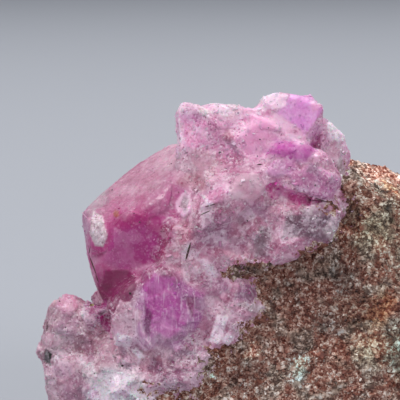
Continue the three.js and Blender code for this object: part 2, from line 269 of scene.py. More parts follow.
def shares_at(points):
    """For each point its distances to the nodes' solids, and its shares of the nodes."""
    distances = np.full((len(points), len(NODE_NAMES)), SHARE_REACH)
    places = np.array([tuple(point) for point in points])
    for column, name in enumerate(NODE_NAMES):
        low, high = (np.array(corner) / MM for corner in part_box(name))
        near = np.all((places > low - SHARE_REACH) & (places < high + SHARE_REACH), axis=1)
        for row in np.flatnonzero(near):
            found = node_trees[name].find_nearest(points[row], SHARE_REACH)
            if found[0] is not None:
                distances[row, column] = found[3]
    torn = distances.copy()
    for column, name in enumerate(NODE_NAMES):
        near = np.flatnonzero(distances[:, column] < SHARE_REACH)
        shift = Vector((5.3 * column, 0, 0))
        torn[near, column] += RAGGED[name] * np.array(
            [noise.noise(points[row] / 1.8 + shift) + 0.6 * noise.noise(points[row] / 0.6 + shift)
             for row in near])
    shares = np.exp(-(torn - torn.min(axis=1, keepdims=True)) / SHARE_WIDTH)
    return distances, shares / shares.sum(axis=1, keepdims=True)

# %% [markdown]
# ## Soft and sharp crystals
# The big crystal on the left has been etched until its ridges are blunt, and the broken stone is sharp.
# The mould is smoothed for more rounds where it should be blunt. Its normals are calmed for longer
# still: they say which way a whole crystal face looks, whatever its small bumps do.

# %% Smooth the mould
#                      rounds of smoothing
BLUNT = {
    "left_crystal":        45,
    "crown_crystals":      1,
    "massive_calcite":     9,
    "violet_crystals":     4,
    "tooth_crystal":       2,
    "lower_left_crystals": 6,
    "white_crystals":      2,
    "cleaved_crystals":    2,
    "flank_crystals":      4,
    "host_rock":           4,
}
MOULD_SHRINK = 0.2
CALMING = 12


def vertex_values(mesh, name):
    values = np.empty(len(mesh.vertices) * 3)
    mesh.vertices.foreach_get(name, values)
    return values.reshape(-1, 3)


def corners_of(mesh):
    """For a mesh of four-cornered faces, the four vertices of each."""
    corners = np.empty(len(mesh.loops), dtype=np.int32)
    mesh.loops.foreach_get("vertex_index", corners)
    return corners.reshape(-1, 4)


def neighbours_of(mesh):
    """The two ends of every edge, and each vertex's number of neighbours."""
    ends = np.empty(len(mesh.edges) * 2, dtype=np.int32)
    mesh.edges.foreach_get("vertices", ends)
    counts = np.bincount(ends, minlength=len(mesh.vertices)).clip(1)
    return ends.reshape(-1, 2), counts[:, None]


def neighbour_mean(values, ends, counts):
    """For each vertex the mean of its neighbours' values."""
    columns = [
        np.bincount(ends[:, 0], weights=column[ends[:, 1]], minlength=len(values))
        + np.bincount(ends[:, 1], weights=column[ends[:, 0]], minlength=len(values))
        for column in values.T
    ]
    return np.column_stack(columns) / counts


mould_places = vertex_values(mould, "co")
ends, counts = neighbours_of(mould)
_, mould_shares = shares_at([vertex.co for vertex in mould.vertices])
rounds = mould_shares @ np.array([BLUNT[name] for name in NODE_NAMES])
for turn in range(max(BLUNT.values())):
    step = np.clip(rounds - turn, 0, 1)[:, None] * 0.5
    mould_places += step * (neighbour_mean(mould_places, ends, counts) - mould_places)
mould.vertices.foreach_set("co", mould_places.ravel())
mould.update()
normals = vertex_values(mould, "normal")
calm = normals.copy()
for turn in range(CALMING):
    calm = neighbour_mean(calm, ends, counts)
calm /= np.linalg.norm(calm, axis=1, keepdims=True)
mould_normals = [Vector(normal) for normal in normals]
calm_normals = [Vector(normal) for normal in calm]
mould_corners = [list(face.vertices) for face in mould.polygons]
mould_points = [Vector(place) for place in mould_places - MOULD_SHRINK * normals]
mould_tree = BVHTree.FromPolygons(mould_points, mould_corners)


def on_mould(point):
    """The nearest place on the mould, its distance, and the mould's own and calm normals there."""
    place, _, face, distance = mould_tree.find_nearest(point)
    own = Vector()
    calmed = Vector()
    for corner in mould_corners[face]:
        pull = 1 / (0.02 + (mould_points[corner] - place).length_squared)
        own += mould_normals[corner] * pull
        calmed += calm_normals[corner] * pull
    return place, distance, own.normalized(), calmed.normalized()

# %% [markdown]
# ## How calcite breaks
# A broken calcite face is not rough like sand. It is a patchwork of small flat facets, each tipped a
# little and a little higher or lower than the next. Voronoi cells give that patchwork. In a broad
# facet every point moves onto the cell's own plane, so a rounded surface turns into flat faces with
# sharp edges. In a fine facet the points only share a small step and a small tilt.
#
# Each node says how much it has of each: slow waves, big and broad flat faces, steps and tilts of the
# fine facets, grain, upright grooves, and how far it stands out from its neighbours.

# %% Heights of the skin
BIG_FACET = 6.0
BROAD_FACET = 2.6
FINE_FACET = 1.0
FACET_LEAN = 0.4
FACET_STEP = 0.04
facet_planes = {}


def facet_of(point, size):
    """The facet a point belongs to: its centre, three random numbers and the nearness of its edge."""
    distances, centres = noise.voronoi(point / size)
    lot = noise.cell_vector(centres[0] * 61.7) - Vector((0.5, 0.5, 0.5))
    return centres[0] * size, lot, distances[1] - distances[0]


def plane_height(point, normal, size):
    """How far the point must move to lie in its facet's plane, with the facet's lot and its edge."""
    centre, lot, edge = facet_of(point, size)
    key = (size, centre.to_tuple(3))
    if key not in facet_planes:
        place, _, _, calmed = on_mould(centre)
        tilted = (calmed + FACET_LEAN * lot).normalized()
        facet_planes[key] = (place + calmed * FACET_STEP * size * lot.z, tilted)
    place, tilted = facet_planes[key]
    height = (place - point).dot(tilted) / max(normal.dot(tilted), 0.35)
    most = 0.22 * size
    return most * math.tanh(height / most), lot, edge


def height_fields(point, normal):
    """The fields of height that RELIEF weighs, and the numbers that colour the facets."""
    big, _, _ = plane_height(point, normal, BIG_FACET)
    broad, lot, edge = plane_height(point, normal, BROAD_FACET)
    centre, chip, _ = facet_of(point, FINE_FACET)
    heights = (
        noise.noise(point / 4.5),
        big,
        broad,
        chip.z,
        chip.dot(point - centre),
        noise.noise(point / 0.5),
        noise.noise(Vector((point.x / 0.45, point.y / 0.45, point.z / 9))),
        1.0,
    )
    return heights, (lot.x + 0.5, chip.x + 0.5, edge)


#                         wave   big  broad  step  tilt  grain grooves rise
RELIEF = {
    "left_crystal":        (0.15, 0.12, 0.00, 0.01, 0.04, 0.02, 0.00, 0.0),
    "crown_crystals":      (0.12, 0.20, 0.20, 0.06, 0.14, 0.05, 0.00, 0.0),
    "massive_calcite":     (0.25, 0.00, 0.40, 0.08, 0.20, 0.05, 0.00, 0.0),
    "violet_crystals":     (0.10, 0.35, 0.00, 0.03, 0.05, 0.03, 0.14, 0.3),
    "tooth_crystal":       (0.10, 0.10, 0.00, 0.03, 0.03, 0.03, 0.03, 0.2),
    "lower_left_crystals": (0.35, 0.10, 0.35, 0.10, 0.20, 0.06, 0.00, 0.0),
    "white_crystals":      (0.20, 0.00, 0.50, 0.20, 0.40, 0.08, 0.00, 0.2),
    "cleaved_crystals":    (0.15, 0.00, 0.50, 0.12, 0.25, 0.05, 0.05, 0.0),
    "flank_crystals":      (0.20, 0.20, 0.40, 0.10, 0.20, 0.05, 0.00, 0.0),
    "host_rock":           (0.60, 0.10, 0.40, 0.25, 0.50, 0.20, 0.00, -0.1),
}
RELIEF_TABLE = np.array([RELIEF[name] for name in NODE_NAMES])

# %% [markdown]
# ## Clean faces in front
# Every crystal that broke open shows one clean face with a crisp outline and a colour of its own: a
# lilac one on the crown, a violet one below, a white blade, two crimson hollows. The hollows' crimson
# is painted lighter than the stone, painted light against the shade they sink into. Each outline is a
# column through the front of a node's box, bent a little by noise. A face lies a little higher or
# lower than its neighbours and tilts a little, so it catches the light on its own.
#
# Along the border, tongues of rock reach in between the shards. They have outlines too.

# %% Outlines of the clean faces
# A face's outline, by its kind: a few corners in a square from -1 to 1, stretched to the face's size.
OUTLINES = {
    "rhomb": [(-1, -0.6), (0.6, -1), (1, 0.6), (-0.6, 1)],
    "slab": [(-1, -1), (0.9, -0.85), (1, 1), (-0.9, 0.85)],
    "wedge": [(-1, -1), (1, -0.1), (-0.8, 1)],
    "kite": [(-1, 0), (0.2, -1), (1, 0.1), (0.1, 1)],
    "blade": [(-1, 0), (0.5, -1), (1, 0), (-0.5, 1)],
    "lobe": [(-1, -0.1), (-0.5, -0.9), (0.4, -1), (1, -0.2), (0.7, 0.7), (-0.3, 1)],
}

# The colours that cobalt, frost and rust give the calcite, and the colours of the rock. The lit
# crimson is painted light: brighter than the stone, it lifts the hollows it lies in out of their shade.
PALETTE = {
    "frost": "#f8e8f2", "blush": "#f4cbe2", "rose": "#e69cc6", "dusty": "#d4a4b8", "orchid": "#d68cc2",
    "lilac": "#e290d4", "wine": "#9e3470", "foot": "#8a0c56",
    "mauve": "#b884a4", "plum": "#94507e", "violet": "#ca5eb0", "grape": "#8c1e70", "bone": "#d8c6ca",
    "ash": "#b8a0aa", "dusk": "#8e667a", "brick": "#b66a7a", "rust": "#a8542c", "olive": "#7c6440",
    "ink": "#2a241c", "umber": "#845f52", "glow": "#dc48a6",
    "cerise": "#b02484", "cobalt": "#c244a6", "raspberry": "#b61c7a", "fuchsia": "#be4c8e",
    "heather": "#c0829c", "thistle": "#cc86a8", "berry": "#b4668a", "salmon": "#dc9cb0",
    "candy": "#f6b6da", "petal": "#e6aac2",
    "cream": "#e0cbb8", "sand": "#c6a286", "tan": "#9a7860", "ochre": "#a8683e", "russet": "#84503e",
    "peat": "#644434", "loam": "#7e6252", "earth": "#685048", "moss": "#7c7464", "slate": "#988c82",
    "chalk": "#d6cec2", "coal": "#2e2826",
}

# Each face: its name, kind of outline, place across and up in the node's box, width and height in
# millimetres, turn in degrees, softness of the edge, rise, colour and strength.
FACES = {
    "crown_crystals": [
        ("left edge", "slab", 0.035, 0.80, 0.9, 6.5, 0, 0.5, 0.0, "frost", 0.5),
        ("top blush", "lobe", 0.09, 0.86, 3.2, 2.6, 0, 0.6, 0.0, "orchid", 0.5),
        ("white ridge", "kite", 0.24, 0.895, 5.8, 2.0, -8, 0.4, 0.05, "blush", 0.85),
        ("pale band", "rhomb", 0.43, 0.88, 4.6, 2.2, 10, 0.5, 0.0, "blush", 0.7),
        ("rosy dome", "lobe", 0.48, 0.72, 5.8, 5.8, 0, 1.0, 0.15, "rose", 0.6),
        ("milky brow", "lobe", 0.60, 0.82, 5.0, 2.4, -20, 0.9, 0.0, "blush", 0.65),
        # painted highlight: a streak of white-pink glints on the crown
        ("milky streak", "rhomb", 0.67, 0.715, 3.4, 1.4, -8, 0.5, 0.05, "blush", 0.8),
        ("magenta band", "blade", 0.66, 0.64, 7.8, 3.4, 4, 1.2, 0.0, "cobalt", 0.95),
        ("lilac crystal", "rhomb", 0.715, 0.88, 6.2, 4.8, -20, 0.45, 0.1, "lilac", 0.9),
        ("lilac brow", "lobe", 0.72, 0.955, 5.6, 2.2, 0, 0.6, 0.0, "lilac", 0.7),
        ("lilac foot", "wedge", 0.73, 0.78, 2.6, 2.2, -80, 0.5, 0.0, "lilac", 0.7),
        ("lilac corner", "rhomb", 0.575, 0.94, 3.6, 2.0, 18, 0.3, 0.05, "blush", 0.8),
        ("rosy corner", "kite", 0.80, 0.91, 1.6, 1.5, -40, 0.3, 0.05, "rose", 0.7),
        ("deep cheek", "rhomb", 0.80, 0.74, 2.2, 2.8, 0, 0.4, -0.1, "orchid", 0.8),
        ("pearl", "lobe", 0.925, 0.74, 3.0, 4.2, 25, 0.4, 0.1, "frost", 0.85),
        ("pearly cheek", "lobe", 0.92, 0.615, 2.6, 2.8, 0, 0.5, 0.1, "dusty", 0.8),
        ("sandy front", "rhomb", 0.14, 0.56, 4.6, 3.8, 0, 0.8, 0.15, "dusty", 0.7),
        ("rusty stain", "kite", 0.30, 0.72, 1.6, 2.2, 0, 0.6, 0.0, "brick", 0.5),
        ("rosy wedge", "blade", 0.34, 0.65, 3.6, 1.5, -35, 0.5, -0.05, "mauve", 0.7),
        ("lilac chin", "lobe", 0.60, 0.53, 4.8, 2.6, 8, 0.6, 0.2, "orchid", 0.7),
        ("overhang", "lobe", 0.80, 0.44, 8.6, 4.4, -18, 0.5, 0.2, "orchid", 0.5),
        ("overhang glint", "slab", 0.80, 0.58, 1.0, 1.2, 0, 0.25, 0.1, "blush", 0.7),
        ("overhang bruise", "rhomb", 0.78, 0.52, 1.8, 1.6, 0, 0.5, -0.05, "plum", 0.6),
        # painted light: the hollow's crimson is brightened against its shade
        ("crimson hollow", "kite", 0.565, 0.39, 2.8, 3.4, -20, 0.3, -0.15, "glow", 0.95),
        ("white heel", "slab", 0.955, 0.50, 1.2, 2.8, 15, 0.3, 0.1, "bone", 0.85),
    ],
    "massive_calcite": [
        # painted light: the cleft's crimson, here and in its head, is brightened against its shade
        ("crimson cleft", "blade", 0.75, 0.855, 8.0, 2.4, -10, 0.3, -0.2, "glow", 0.85),
        ("cleft head", "kite", 0.645, 0.895, 2.4, 3.2, 0, 0.3, -0.2, "glow", 0.95),
        ("pale block", "lobe", 0.49, 0.91, 5.2, 4.0, 10, 0.6, 0.35, "dusty", 0.8),
        ("rosy arm", "slab", 0.32, 0.86, 4.8, 2.0, 20, 0.6, 0.3, "rose", 0.6),
        ("bright chip", "blade", 0.28, 0.835, 2.0, 0.8, -25, 0.2, 0.15, "frost", 0.85),
        ("broken ring", "lobe", 0.155, 0.81, 2.6, 3.3, -15, 0.4, 0.2, "blush", 0.8),
        ("ring floor", "rhomb", 0.16, 0.81, 1.3, 1.8, -15, 0.3, -0.15, "ash", 0.8),
        ("brick hollow", "lobe", 0.20, 0.92, 4.6, 2.4, -5, 0.7, -0.1, "brick", 0.5),
        ("mauve field", "rhomb", 0.32, 0.69, 5.2, 6.2, 0, 0.9, 0.1, "mauve", 0.6),
        ("hot spot", "lobe", 0.47, 0.74, 2.0, 1.9, 0, 0.7, 0.0, "wine", 0.7),
        ("mauve brow", "rhomb", 0.55, 0.79, 4.0, 2.2, -10, 0.6, 0.1, "mauve", 0.6),
        ("ash chip", "kite", 0.72, 0.76, 1.8, 2.0, 0, 0.3, 0.1, "bone", 0.5),
        ("bone chip", "slab", 0.81, 0.79, 2.2, 1.4, -15, 0.3, 0.15, "bone", 0.55),
        ("dusky field", "rhomb", 0.78, 0.70, 5.8, 3.6, 10, 0.5, 0.0, "dusk", 0.8),
        ("ash shard", "slab", 0.575, 0.62, 2.2, 4.6, -8, 0.5, 0.1, "ash", 0.7),
        ("plum patch", "rhomb", 0.44, 0.60, 3.2, 2.4, 0, 0.7, 0.0, "plum", 0.4),
        ("plum wedge", "rhomb", 0.49, 0.34, 3.2, 2.6, 0, 0.5, 0.0, "plum", 0.7),
        ("bone end", "kite", 0.935, 0.67, 2.2, 2.8, 0, 0.4, 0.1, "bone", 0.7),
        ("frosted step", "blade", 0.29, 0.48, 4.2, 1.8, -35, 0.5, 0.15, "frost", 0.65),
        ("rosy strip", "slab", 0.12, 0.54, 3.6, 4.2, 0, 0.7, 0.1, "dusty", 0.6),
        ("orchid tongue", "lobe", 0.32, 0.38, 5.0, 2.6, 0, 0.7, 0.1, "mauve", 0.6),
        ("pale plates", "blade", 0.51, 0.265, 4.6, 1.6, -8, 0.4, 0.1, "bone", 0.7),
        ("pale foot", "slab", 0.38, 0.23, 2.0, 3.2, 0, 0.6, 0.1, "dusty", 0.6),
        ("white drip", "slab", 0.34, 0.15, 1.7, 4.4, -20, 0.35, 0.1, "frost", 0.85),
        ("white crumb", "kite", 0.39, 0.10, 2.0, 2.4, 0, 0.35, 0.1, "frost", 0.75),
    ],
    "left_crystal": [
        ("white patch", "lobe", 0.18, 0.49, 2.6, 4.6, 8, 0.25, 0.1, "bone", 0.9),
        ("deep face", "lobe", 0.50, 0.40, 9.0, 6.6, 25, 1.4, 0.0, "cerise", 0.85),
        ("crimson foot", "lobe", 0.31, 0.11, 4.4, 5.0, 0, 0.8, 0.0, "foot", 0.95),
        ("pale foot", "rhomb", 0.45, 0.16, 2.6, 1.6, 20, 0.6, 0.0, "mauve", 0.5),
        ("rust spot", "lobe", 0.35, 0.60, 1.0, 0.9, 0, 0.3, 0.0, "rust", 0.8),
    ],
    "lower_left_crystals": [
        ("knob top", "lobe", 0.36, 0.95, 3.4, 2.6, 0, 0.6, 0.2, "rose", 0.4),
        ("knob front", "lobe", 0.36, 0.84, 3.8, 3.0, 0, 0.8, 0.2, "mauve", 0.5),
        ("upper knob", "lobe", 0.62, 0.88, 2.2, 3.6, 10, 0.8, 0.15, "mauve", 0.6),
        ("wine cleft", "wedge", 0.79, 0.87, 5.4, 3.2, -60, 0.25, -0.2, "cerise", 0.9),
        ("side knob", "lobe", 0.17, 0.745, 3.0, 2.0, 0, 0.5, 0.2, "dusty", 0.6),
        ("dark pit", "rhomb", 0.13, 0.64, 1.3, 2.4, 0, 0.25, -0.4, "ink", 1.0),
        ("brick gap", "slab", 0.61, 0.68, 1.5, 3.2, 10, 0.7, -0.2, "wine", 0.45),
        ("right knob", "lobe", 0.86, 0.70, 3.4, 4.0, 0, 0.6, 0.2, "dusty", 0.6),
        ("grey belly", "lobe", 0.30, 0.57, 3.4, 2.8, 0, 0.6, 0.1, "mauve", 0.5),
        ("broad foot", "lobe", 0.50, 0.44, 5.4, 5.2, 0, 1.2, 0.2, "mauve", 0.4),
        ("frost tuft", "kite", 0.23, 0.64, 0.9, 1.7, -20, 0.3, 0.1, "frost", 0.8),
        ("middle tuft", "rhomb", 0.53, 0.63, 1.5, 1.2, 0, 0.4, 0.1, "frost", 0.6),
        ("top tuft", "kite", 0.54, 0.90, 1.0, 1.4, 0, 0.3, 0.1, "frost", 0.8),
    ],
    "tooth_crystal": [
        # the tooth's top in the dark crimson of the left crystal's foot, partly painted shade cast over it
        # from above
        ("crimson brow", "lobe", 0.30, 0.86, 6.2, 4.6, 20, 0.3, 0.0, "foot", 1.0),
        ("wine gap", "wedge", 0.10, 0.30, 3.6, 1.8, -62, 0.2, -0.3, "wine", 0.95),
        ("tooth face", "rhomb", 0.58, 0.40, 4.4, 5.4, -8, 0.25, 0.2, "dusty", 0.85),
        ("tooth foot", "rhomb", 0.48, 0.07, 3.0, 2.0, 0, 0.4, 0.1, "frost", 0.9),
    ],
    "violet_crystals": [
        ("violet crystal", "lobe", 0.45, 0.42, 7.0, 6.2, 96, 0.5, 0.1, "violet", 0.95),
        ("violet head", "lobe", 0.38, 0.70, 5.2, 5.2, 0, 0.7, 0.0, "violet", 0.9),
        ("dark stripe", "blade", 0.21, 0.33, 4.8, 1.5, -84, 0.35, 0.0, "grape", 0.85),
        ("left edge", "blade", 0.135, 0.29, 3.0, 0.4, -72, 0.15, 0.1, "blush", 0.8),
        ("foot edge", "blade", 0.22, 0.10, 1.8, 0.35, -45, 0.15, 0.1, "blush", 0.75),
        ("right edge", "blade", 0.76, 0.49, 2.9, 0.35, -76, 0.15, 0.1, "blush", 0.75),
        ("wine wedge", "wedge", 0.82, 0.49, 3.2, 1.5, -85, 0.35, 0.0, "wine", 0.7),
        ("mauve flank", "rhomb", 0.93, 0.52, 1.5, 2.0, 0, 0.4, 0.0, "mauve", 0.7),
    ],
    "cleaved_crystals": [
        ("white corner", "rhomb", 0.19, 0.69, 1.8, 1.6, 0, 0.3, 0.1, "frost", 0.85),
        ("white chip", "blade", 0.335, 0.52, 2.2, 1.3, -35, 0.3, 0.15, "frost", 0.85),
        ("first stripe", "blade", 0.385, 0.65, 2.7, 0.4, -52, 0.15, 0.1, "blush", 0.75),
        ("second stripe", "blade", 0.44, 0.70, 1.5, 0.4, -45, 0.15, 0.1, "blush", 0.75),
        ("third stripe", "blade", 0.775, 0.665, 2.3, 0.35, -38, 0.15, 0.1, "blush", 0.7),
        ("fourth stripe", "blade", 0.82, 0.68, 1.3, 0.35, -38, 0.15, 0.1, "blush", 0.7),
        ("dusty lobe", "lobe", 0.52, 0.58, 2.0, 2.0, 0, 0.5, 0.1, "dusty", 0.7),
        ("orchid lobe", "lobe", 0.70, 0.64, 2.4, 1.7, 0, 0.5, 0.1, "orchid", 0.6),
        ("plum band", "blade", 0.78, 0.54, 3.4, 1.0, 0, 0.4, -0.1, "plum", 0.7),
        ("plum hollow", "rhomb", 0.64, 0.38, 1.8, 2.2, 0, 0.4, -0.2, "wine", 0.6),
        ("plum field", "rhomb", 0.50, 0.37, 2.4, 2.2, 0, 0.6, 0.0, "plum", 0.6),
    ],
    "white_crystals": [
        ("white cluster", "lobe", 0.50, 0.66, 7.6, 7.0, 0, 0.4, 0.1, "frost", 0.95),
    ],
}

# Each tongue of rock between the crystals: its name, kind of outline, place, size, turn and softness
# as above, then its share of rock and its colour.
ROCKY = {
    "massive_calcite": [
        ("torn border", "lobe", 0.50, 0.46, 9.5, 3.0, 5, 1.1, 0.8, "umber"),
        ("brown edge", "lobe", 0.86, 0.54, 7.4, 3.8, 20, 0.8, 0.95, "umber"),
        ("brown field", "lobe", 0.75, 0.36, 12.4, 8.0, 0, 0.5, 1.0, "umber"),
        ("lower field", "lobe", 0.69, 0.12, 10.0, 7.0, 0, 0.5, 1.0, "umber"),
        ("rock foot", "lobe", 0.44, 0.04, 4.6, 2.0, 0, 0.4, 0.9, "umber"),
        ("dark corner", "lobe", 0.93, 0.80, 3.4, 2.2, 10, 0.8, 0.6, "umber"),
        ("rock shelf", "kite", 0.84, 0.58, 3.2, 2.4, 0, 0.5, 0.75, "umber"),
        ("rock pocket", "rhomb", 0.48, 0.15, 1.8, 2.6, 0, 0.4, 0.6, "umber"),
    ],
    "lower_left_crystals": [
        ("rusty crumb", "lobe", 0.65, 0.99, 1.5, 2.6, 0, 0.3, 1.0, "olive"),
        ("cream crumb", "rhomb", 0.54, 0.98, 1.0, 1.1, 0, 0.3, 0.6, "bone"),
    ],
    "cleaved_crystals": [
        ("rock tongue", "wedge", 1.00, 0.43, 4.2, 2.6, 180, 0.4, 0.9, "umber"),
    ],
}

FACE_TILT = 0.08
FACE_BEND = 0.22


def bent_places(bases, much):
    """Where clouds and faces are looked up: the bases from the front, bent by noise."""
    aside = Vector((9, 0, 0))
    return np.array([(
        base.x + much * (noise.noise(base / 2.2) + 0.4 * noise.noise(base / 0.6)),
        base.z + much * (noise.noise(base / 2.2 + aside) + 0.4 * noise.noise(base / 0.6 + aside)),
    ) for base in bases])


def smooth_step(share):
    share = np.clip(share, 0, 1)
    return share * share * (3 - 2 * share)


def box_corners(node):
    low, high = (np.array(corner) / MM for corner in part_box(node))
    return low, high - low


def outline_corners(node, kind, across, up, width, height, turn):
    """The corners of an outline of this kind, in millimetres as seen from the front."""
    low, size = box_corners(node)
    turn = math.radians(turn)
    along = np.array([math.cos(turn), math.sin(turn)]) * width / 2
    over = np.array([-math.sin(turn), math.cos(turn)]) * height / 2
    middle = low[[0, 2]] + np.array([across, up]) * size[[0, 2]]
    return middle + np.array(OUTLINES[kind]) @ np.array([along, over])


def outline_share(places, corners, soft):
    """How far inside the outline each place is: 1 inside and 0 outside."""
    shares = np.zeros(len(places))
    near = np.all((places > corners.min(axis=0) - soft) & (places < corners.max(axis=0) + soft), axis=1)
    places = places[near]
    gap = np.full(len(places), 99.0)
    inside = np.zeros(len(places), dtype=bool)
    for start, end in zip(corners, np.roll(corners, -1, axis=0)):
        edge = end - start
        along = np.clip((places - start) @ edge / (edge @ edge), 0, 1)
        gap = np.minimum(gap, np.linalg.norm(places - start - along[:, None] * edge, axis=1))
        level = (start[1] > places[:, 1]) != (end[1] > places[:, 1])
        crossing = start[0] + (places[:, 1] - start[1]) * edge[0] / (edge[1] or 1)
        inside ^= level & (places[:, 0] < crossing)
    shares[near] = smooth_step(np.where(inside, gap, -gap) / soft + 0.5)
    return shares


def outline_table(outlines, bases, crisp):
    """For each point a row of its shares of these outlines, and a row of its lifts on tilted faces."""
    luck = np.random.default_rng(5)
    shares = []
    lifts = []
    for node, faces in outlines.items():
        low, size = box_corners(node)
        depth = np.array([base.y for base in bases]) - low[1]
        front = smooth_step((0.7 * size[1] - depth) / 2)
        for _, kind, across, up, width, height, turn, soft, rise, *_ in faces:
            corners = outline_corners(node, kind, across, up, width, height, turn)
            shares.append(front * outline_share(crisp, corners, soft))
            tilt = luck.uniform(-FACE_TILT, FACE_TILT, 2)
            lifts.append(shares[-1] * (rise + (crisp - corners.mean(axis=0)) @ tilt))
    return np.column_stack(shares), np.column_stack(lifts)


ALL_FACES = [face for faces in FACES.values() for face in faces]
# faces kept calm and clear; the glint streak among them is painted highlight, and the shaded crimson brow
# is partly painted shade
MILKY_FACES = ("lilac crystal", "lilac corner", "rosy dome", "milky brow", "milky streak", "magenta band",
               "pale block", "crimson brow")
MILKY = [column for column, face in enumerate(ALL_FACES) if face[0] in MILKY_FACES]
FROSTY = [column for column, face in enumerate(ALL_FACES) if face[-2] in ("frost", "bone", "ash")]
ALL_ROCKY = [tongue for tongues in ROCKY.values() for tongue in tongues]

# %% [markdown]
# ## Drawing a node's piece onto the mould
# A piece starts as its own node's solid, swollen a little more than the mould and remeshed finely.
# Every vertex that lies near the mould moves onto it, and then out by the height of the skin. The
# others are buried in the neighbours, and stay where they are. Two neighbours meet on one and the same
# surface, so no gap and no step is left between them, and yet each is a closed body of its own.

# %% Make a piece's skin
PIECE_SWELL = 0.6
PULL = 1.3
SUNK = 0.4
FOOT = 0.4
CLEAN_CALM = 0.6


def drawn_skin(name, voxel):
    """The piece's mesh in millimetres, and a table of what is known of each vertex."""
    mesh = with_modifier(swollen_mesh([solids[name]], PIECE_SWELL, name), "REMESH",
                         mode="VOXEL", voxel_size=voxel)
    bases = []
    normals = []
    drawn = []
    for vertex in mesh.vertices:
        place, distance, normal, _ = on_mould(vertex.co)
        drawn.append(distance < PULL and vertex.normal.dot(normal) > 0.2)
        depth = (place - vertex.co).dot(normal)
        if drawn[-1]:
            bases.append(place)
        elif distance < PULL and depth < SUNK:
            bases.append(vertex.co - normal * (SUNK - depth))
        else:
            bases.append(vertex.co.copy())
        normals.append(normal)
    rows = np.flatnonzero(drawn)
    own = NODE_NAMES.index(name)
    known = {
        "shares": np.tile(np.eye(len(NODE_NAMES))[own], (len(bases), 1)),
        "seam": np.ones(len(bases)),
        "facets": np.full((len(bases), 3), 0.5),
        "bases": np.array([tuple(base) for base in bases]),
        "drawn": np.array(drawn),
    }
    distances, known["shares"][rows] = shares_at([bases[row] for row in rows])
    others = np.delete(distances, own, axis=1).min(axis=1)
    known["seam"][rows] = np.clip(1.6 - others + distances[:, own], 0, 1)
    crisp = bent_places(bases, FACE_BEND)
    known["faces"], lifts = outline_table(FACES, bases, crisp)
    known["rocky"], _ = outline_table(ROCKY, bases, crisp)
    known["faces"] *= known["drawn"][:, None]
    known["clean"] = known["faces"].max(axis=1)
    known["milky"] = known["faces"][:, MILKY].max(axis=1)
    known["frosty"] = known["faces"][:, FROSTY].max(axis=1)
    lifts = lifts.sum(axis=1)
    for row in rows:
        heights, known["facets"][row] = height_fields(bases[row], normals[row])
        rough = 1 - CLEAN_CALM * known["clean"][row]
        lift = rough * (known["shares"][row] @ RELIEF_TABLE @ heights) + lifts[row]
        bases[row] += normals[row] * lift * min(1.0, max(0.0, bases[row].z - 0.4) / FOOT)
    for vertex, base in zip(mesh.vertices, bases):
        vertex.co = (base.x, base.y, max(base.z, 0))
    mesh.shade_smooth()
    mesh.update()
    return mesh, known

# %% [markdown]
# ## Colour that runs through the stone
# Cobalt comes and goes while a crystal grows, so the pink lies in soft clouds, deepest where the
# crystal is clear and palest where it is frosted. Each cloud is a soft-edged column from front to
# back, placed as a share of a node's box, and noise bends all of them a little. The clear crystals in
# front have flat faces of one colour with a crisp outline, which lie over the clouds.

# %% Colours, clouds and faces
def linear(hex_colour):
    """An sRGB hex colour as linear red, green and blue."""
    channels = [int(hex_colour[i:i + 2], 16) / 255 for i in (1, 3, 5)]
    return np.array([c / 12.92 if c <= 0.04045 else ((c + 0.055) / 1.055) ** 2.4 for c in channels])


#                         ground    broken sugar
STONE = {
    "left_crystal":        ("#b8448a", 0.20, 0.25),
    "crown_crystals":      ("#e0a2c4", 0.55, 1.00),
    "massive_calcite":     ("#d092ae", 0.90, 0.75),
    "violet_crystals":     ("#b45ea0", 0.45, 0.45),
    "tooth_crystal":       ("#c79aaf", 0.35, 1.00),
    "lower_left_crystals": ("#c090a1", 0.70, 0.90),
    "white_crystals":      ("#f4e2ea", 1.00, 1.00),
    "cleaved_crystals":    ("#c286a4", 0.90, 0.90),
    "flank_crystals":      ("#c88fa9", 0.60, 0.80),
    "host_rock":           ("#8e6a5c", 1.00, 0.50),
}
ROCK = NODE_NAMES.index("host_rock")
GROUND_TABLE = np.array([linear(STONE[name][0]) for name in NODE_NAMES])
BROKEN_TABLE = np.array([STONE[name][1] for name in NODE_NAMES])
SUGAR_TABLE = np.array([STONE[name][2] for name in NODE_NAMES])
FROST_HEX = "#f8e6f0"
FROST = linear(FROST_HEX)
# how much paler the standing-out edges are painted: frost and painted highlight
EDGE_FROST_AND_HIGHLIGHT = 0.22
EDGE_FROM = 0.03
EDGE_WIDTH = 0.15
CLOUD_BEND = 0.9
MILKY_CALM = 0.7
CLEAN_SUGAR = 0.2
BORDER_ROUNDS = 12
PATCH_CALM = 1.1
PATCH_MOST = 1.7

